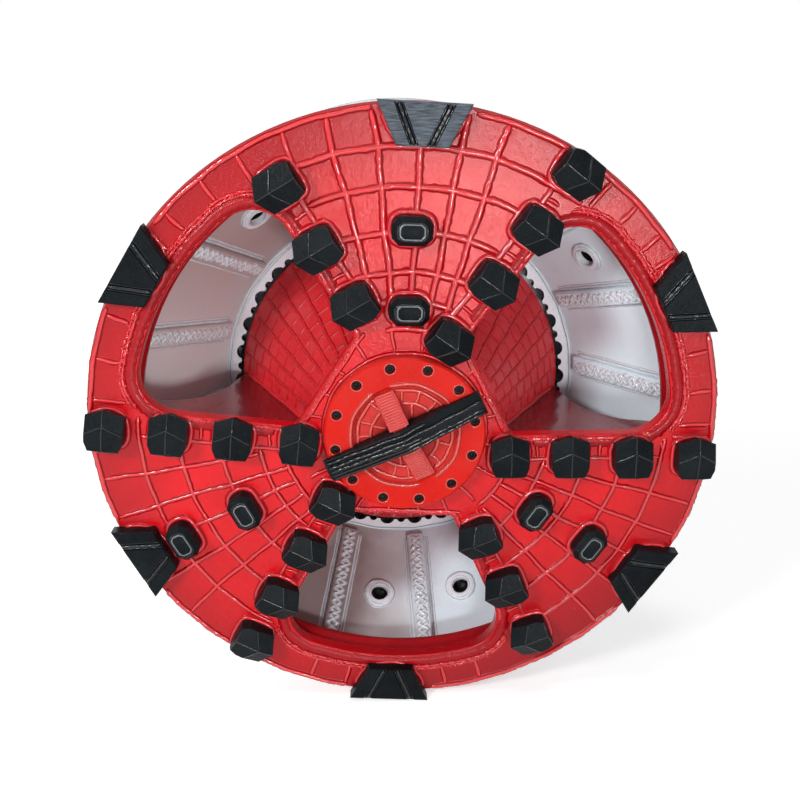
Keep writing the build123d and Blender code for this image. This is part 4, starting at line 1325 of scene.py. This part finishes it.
@piece(WHITE_WELD, SHIELD, "white_enamel")
def crusher_bar_hardfacing(mesh):
    """Two zigzags of hard facing that cross on top of each crusher bar."""
    end, border = BAR_LENGTH / 2 - 5 * MM, 15 * MM
    turns = 15
    for angle in BAR_ANGLES:
        for hand in (1, -1):
            zigzag = []
            for j, share in enumerate(evenly(turns)):
                along = end * (2 * share - 1) + mesh.jitter(3) * MM
                aside = hand * (border - mesh.dice.uniform(0, 5) * MM)
                zigzag.append((along, aside if j % 2 else -aside))
            lay_bead(mesh, trace(bar_top(angle), *zigzag, step=4.5 * MM), 9, 3.6, rough=0.3)


@piece(WHITE_WELD, SHIELD, "white_enamel")
def crusher_bar_welds(mesh):
    """Two welds along each side of the foot of each crusher bar."""
    for angle in BAR_ANGLES:
        for side in (-1, 1):
            for offset, width in ((3, 8), (11, 4.5)):
                row = []
                for part in evenly(24):
                    share = 0.075 + 0.85 * part
                    radius = between(BOWL_FRONT_RADIUS, BOWL_REAR_RADIUS, share)
                    turn = math.degrees((BAR_HALF + offset * MM) / radius)
                    row.append(bowl(share, angle + side * turn))
                lay_bead(mesh, spaced(row, BEAD_STEP), width, 0.4 * width, rough=0.1, wander=0.4)


@piece(WHITE_WELD, SHIELD, "white_enamel")
def nozzle_port_welds(mesh):
    """Weld round the collar of each nozzle port and a soft bead round its mouth."""
    for angle in PORT_ANGLES:
        centre, normal = bowl(PORT_SHARE, angle)
        forward = bowl_forward(angle)
        across = forward.cross(normal)
        for radius, rise, width, height in ((36, 1.2, 11, 6), (25.5, 8.5, 4.5, 1.6)):
            ring = []
            for turn in map(math.radians, round_angles(ROUND_POINTS)):
                way = forward * math.cos(turn) + across * math.sin(turn)
                ring.append((centre + (way * radius + normal * rise) * MM, normal))
            lay_bead(mesh, spaced(ring, FINE_STEP, True), width, height, True, 0.12, sink=4)


@piece(BOLT_BLACK, SHIELD, "tool_steel", BOLT_CREASE)
def nozzle_inserts(mesh):
    """Dark nozzle body seated in the bore of each port, behind a short sleeve."""
    insets = ((0.2, -24), (0.2, -7), (2, -6.4), (4, -8), (5, -16), (12, -20), (19, -22))
    for angle in PORT_ANGLES:
        centre, normal = bowl(PORT_SHARE, angle)
        turn_up(mesh, centre, normal, [(PORT_BORE - inset, height) for inset, height in insets], 32)


@piece(WHITE_WELD, SHIELD, "white_enamel")
def screen_ring_welds(mesh):
    """Weld between the crusher bowl and the screen ring."""
    path = circle(plane_at(BOWL_REAR_Y, FRONT), BOWL_REAR_RADIUS - 4 * MM)
    lay_bead(mesh, path, 7, 3.5, True, 0.1)


# ---------------- shield, rear

@piece(WHITE_WELD, SHIELD, "white_enamel")
def shield_seam_welds(mesh):
    """Ground-back seams of the rolled shield skin and welds inside its rear bay."""
    seam = (12, 1.8)
    for y in (SHIELD_FRONT_Y + 70 * MM, SHIELD_REAR_Y - 34 * MM):
        lay_bead(mesh, circle(skin, y, 8 * MM), *seam, True)
    for angle in (112.0, 292.0):
        path = trace(skin, (SHIELD_FRONT_Y + 74 * MM, angle), (SHIELD_REAR_Y - 38 * MM, angle), step=8 * MM)
        lay_bead(mesh, path, *seam)
    lay_bead(mesh, circle(plane_at(BULKHEAD_REAR_Y), SKIN_BORE - 5 * MM), 12, 8, True)
    for angle in round_angles(GUSSET_COUNT, 180 / GUSSET_COUNT):
        outward, aside = directions(angle)
        for way in (aside, -aside):
            foot = way * (GUSSET_HALF + 2 * MM) + on_axis(BULKHEAD_REAR_Y + 2 * MM)
            near, far = foot + outward * (SKIN_BORE - GUSSET_REACH), foot + outward * (SKIN_BORE - 8 * MM)
            start = foot + outward * (SKIN_BORE - 3 * MM) + BACK * 6 * MM
            stop = start + BACK * (GUSSET_LENGTH - 10 * MM)
            for ends, lean in (((near, far), BACK + way), ((start, stop), way - outward)):
                row = [(point, lean.normalized()) for point in ends]
                lay_bead(mesh, spaced(row, BEAD_STEP), 10, 4, sink=5)
    for angle in PIPE_ANGLES:
        centre = polar(PIPE_CIRCLE, angle, BULKHEAD_REAR_Y + 1 * MM)
        ring = []
        for turn in round_angles(ROUND_POINTS):
            way = polar(1, turn)
            ring.append((centre + way * (PIPE_RADIUS + 4 * MM), (BACK + way).normalized()))
        lay_bead(mesh, spaced(ring, BEAD_STEP, True), 11, 5, True, sink=5)


@piece(ZINC, SHIELD, "machined_steel", BOLT_CREASE)
def drive_bolts(mesh):
    """Bolts of the bearing housing, the gear case and the motors."""
    flange_circle = 0.5 * (HOUSING_RADIUS + HOUSING_FLANGE_RADIUS) + 4 * MM
    rings = ((flange_circle, HOUSING_FLANGE_REAR_Y, 20, 15), (246 * MM, CASE_REAR_Y, 16, 9))
    for radius, y, count, apothem in rings:
        for angle in round_angles(count, 180 / count):
            hex_bolt(mesh, polar(radius, angle, y), BACK, apothem)
    flange_circle = 0.5 * (MOTOR_RADIUS + MOTOR_FLANGE_RADIUS)
    for angle in MOTOR_ANGLES:
        centre = polar(MOTOR_CIRCLE, angle)
        for turn in round_angles(6, angle + 30):
            place = centre + polar(flange_circle, turn, CASE_REAR_Y + MOTOR_FLANGE_THICK)
            socket_bolt(mesh, place, BACK, 5.6, 7)
        for turn in round_angles(4, angle + 45):
            place = centre + polar(MOTOR_COVER_RADIUS - 12 * MM, turn, MOTOR_REAR_Y - 0.2 * MM)
            socket_bolt(mesh, place, BACK, 5, 3.5)


def hose_seats():
    """Seat and direction of each hose boss on the sides of the drive motors."""
    for angle in MOTOR_ANGLES:
        for turn in (-24, 24):
            way = polar(1, angle + turn)
            yield polar(MOTOR_CIRCLE, angle, CASE_REAR_Y + 70 * MM) + way * (MOTOR_RADIUS - 6 * MM), way


@piece(GREY, SHIELD, "grey_enamel", BOLT_CREASE)
def motor_hose_bosses(mesh):
    for seat, way in hose_seats():
        turn_up(mesh, seat, way, ((21, 0), (21, 15), (18, 18), (17, 18)))


@piece(ZINC, SHIELD, "machined_steel", BOLT_CREASE)
def motor_port_plugs(mesh):
    """Blanking plugs in the hose bosses."""
    key = hexagon(10)
    for seat, way in hose_seats():
        turn_up(mesh, seat + way * 17 * MM, way, ((15, 0), (15, 4), (key, 4.5), (key, 13), (8.5, 14)))


@piece(GREY_WELD, SHIELD, "grey_enamel")
def bearing_housing_welds(mesh):
    """Weld round the bearing housing, front and rear of the bulkhead."""
    for y, normal in ((BULKHEAD_FRONT_Y, FRONT), (HOUSING_FLANGE_REAR_Y, BACK)):
        lay_bead(mesh, circle(plane_at(y, normal), HOUSING_RADIUS + 5 * MM), 13, 7, True)


# ---------------- studio and camera

FLOOR_REACH = 40.0
AIM = (0, RIM_Y, 0)
LOW_AIM = (0.2, RIM_Y, 0.3)
# For each lamp: its place, what it points at, its width and height, and its watts
LAMPS = {
    "key": ((-2.4, -3.4, 1.8), AIM, (0.9, 0.7), 90),
    "overhead": ((0.1, -1.5, 2.4), AIM, (1.4, 0.12), 10),
    "low_front_right": ((1.0, RIM_Y - 5.0, 0.02), LOW_AIM, (1.0, 0.6), 100),
    "low_front_left": ((-0.05, RIM_Y - 5.0, -0.42), LOW_AIM, (1.3, 0.9), 12),
    "rear_fill": ((-1.8, 3.9, 2.3), (0, 0, 0), (1.6, 1.2), 84),
}


def camera_sees(tree):
    """1 for rays that show the surroundings to the camera, directly or in gloss or glass."""
    path = add_node(tree, "LightPath").outputs
    seen = math_node(tree, "MAXIMUM", path["Is Camera Ray"], path["Is Glossy Ray"])
    return math_node(tree, "MAXIMUM", seen, path["Is Transmission Ray"])


def build_floor():
    """Pale floor that the camera sees brighter than it lights the machine, brightest far away."""
    low = CAD_BOX[0].z
    corners = [(x * FLOOR_REACH, y * FLOOR_REACH, low) for x, y in ((-1, -1), (1, -1), (1, 1), (-1, 1))]
    data = bpy.data.meshes.new("floor")
    data.from_pydata(corners, [], [(0, 1, 2, 3)])
    material = bpy.data.materials.new("pale_floor")
    material.use_nodes = True
    tree = material.node_tree
    glow = ramp(tree, vector_node(tree, "LENGTH", object_place(tree)), 1.6, 4.5, 0.56, 0.80)
    fill(tree.nodes["Principled BSDF"], Base_Color=(0.78, 0.78, 0.78), Roughness=1.0, Specular_IOR_Level=0.0,
         Emission_Color=(1, 1, 1), Emission_Strength=math_node(tree, "MULTIPLY", camera_sees(tree), glow))
    data.materials.append(material)
    floor = new_object("floor", data)


def build_studio():
    world = bpy.data.worlds.new("studio")
    bpy.context.scene.world = world
    world.use_nodes = True
    tree = world.node_tree
    strength = ramp(tree, camera_sees(tree), 0.0, 1.0, 0.30, 1.0)
    fill(tree.nodes["Background"], Color=(1, 1, 1), Strength=strength)
    for name, (place, aim, size, power) in LAMPS.items():
        lamp = bpy.data.lights.new(name, "AREA")
        lamp.shape = "RECTANGLE"
        lamp.size, lamp.size_y = size
        lamp.energy = power
        holder = new_object(name, lamp)
        holder.location = place
        holder.rotation_mode = "QUATERNION"
        holder.rotation_quaternion = (Vector(aim) - Vector(place)).to_track_quat("-Z", "Y")


# Camera: aim in rim radii from the centre of the rim, then angles in degrees
CAMERA_AIM = (-0.013, 0.087)
CAMERA_DISTANCE = 2.924 * RIM_RADIUS
CAMERA_ELEVATION = 19.963
CAMERA_AZIMUTH = -1.321
CAMERA_ROLL = 0.265
CAMERA_LENS = 41.17


def build_camera():
    e, a, roll = (math.radians(angle) for angle in (CAMERA_ELEVATION, CAMERA_AZIMUTH, CAMERA_ROLL))
    back = Vector((math.sin(a) * math.cos(e), -math.cos(a) * math.cos(e), math.sin(e)))
    level = Vector((math.cos(a), math.sin(a), 0))
    upright = back.cross(level)
    right = level * math.cos(roll) - upright * math.sin(roll)
    up = level * math.sin(roll) + upright * math.cos(roll)
    aim = Vector((CAMERA_AIM[0] * RIM_RADIUS, RIM_Y, CAMERA_AIM[1] * RIM_RADIUS))
    lens = bpy.data.cameras.new("camera")
    lens.lens = CAMERA_LENS
    lens.sensor_width = 36
    lens.clip_end = 100
    camera = new_object("camera", lens)
    turn = Matrix((right, up, back)).transposed().to_4x4()
    camera.matrix_world = Matrix.Translation(aim + back * CAMERA_DISTANCE) @ turn
    bpy.context.scene.camera = camera


build_floor()
build_studio()
build_camera()
bpy.context.scene.view_settings.view_transform = "Standard"

bpy.context.view_layer.update()
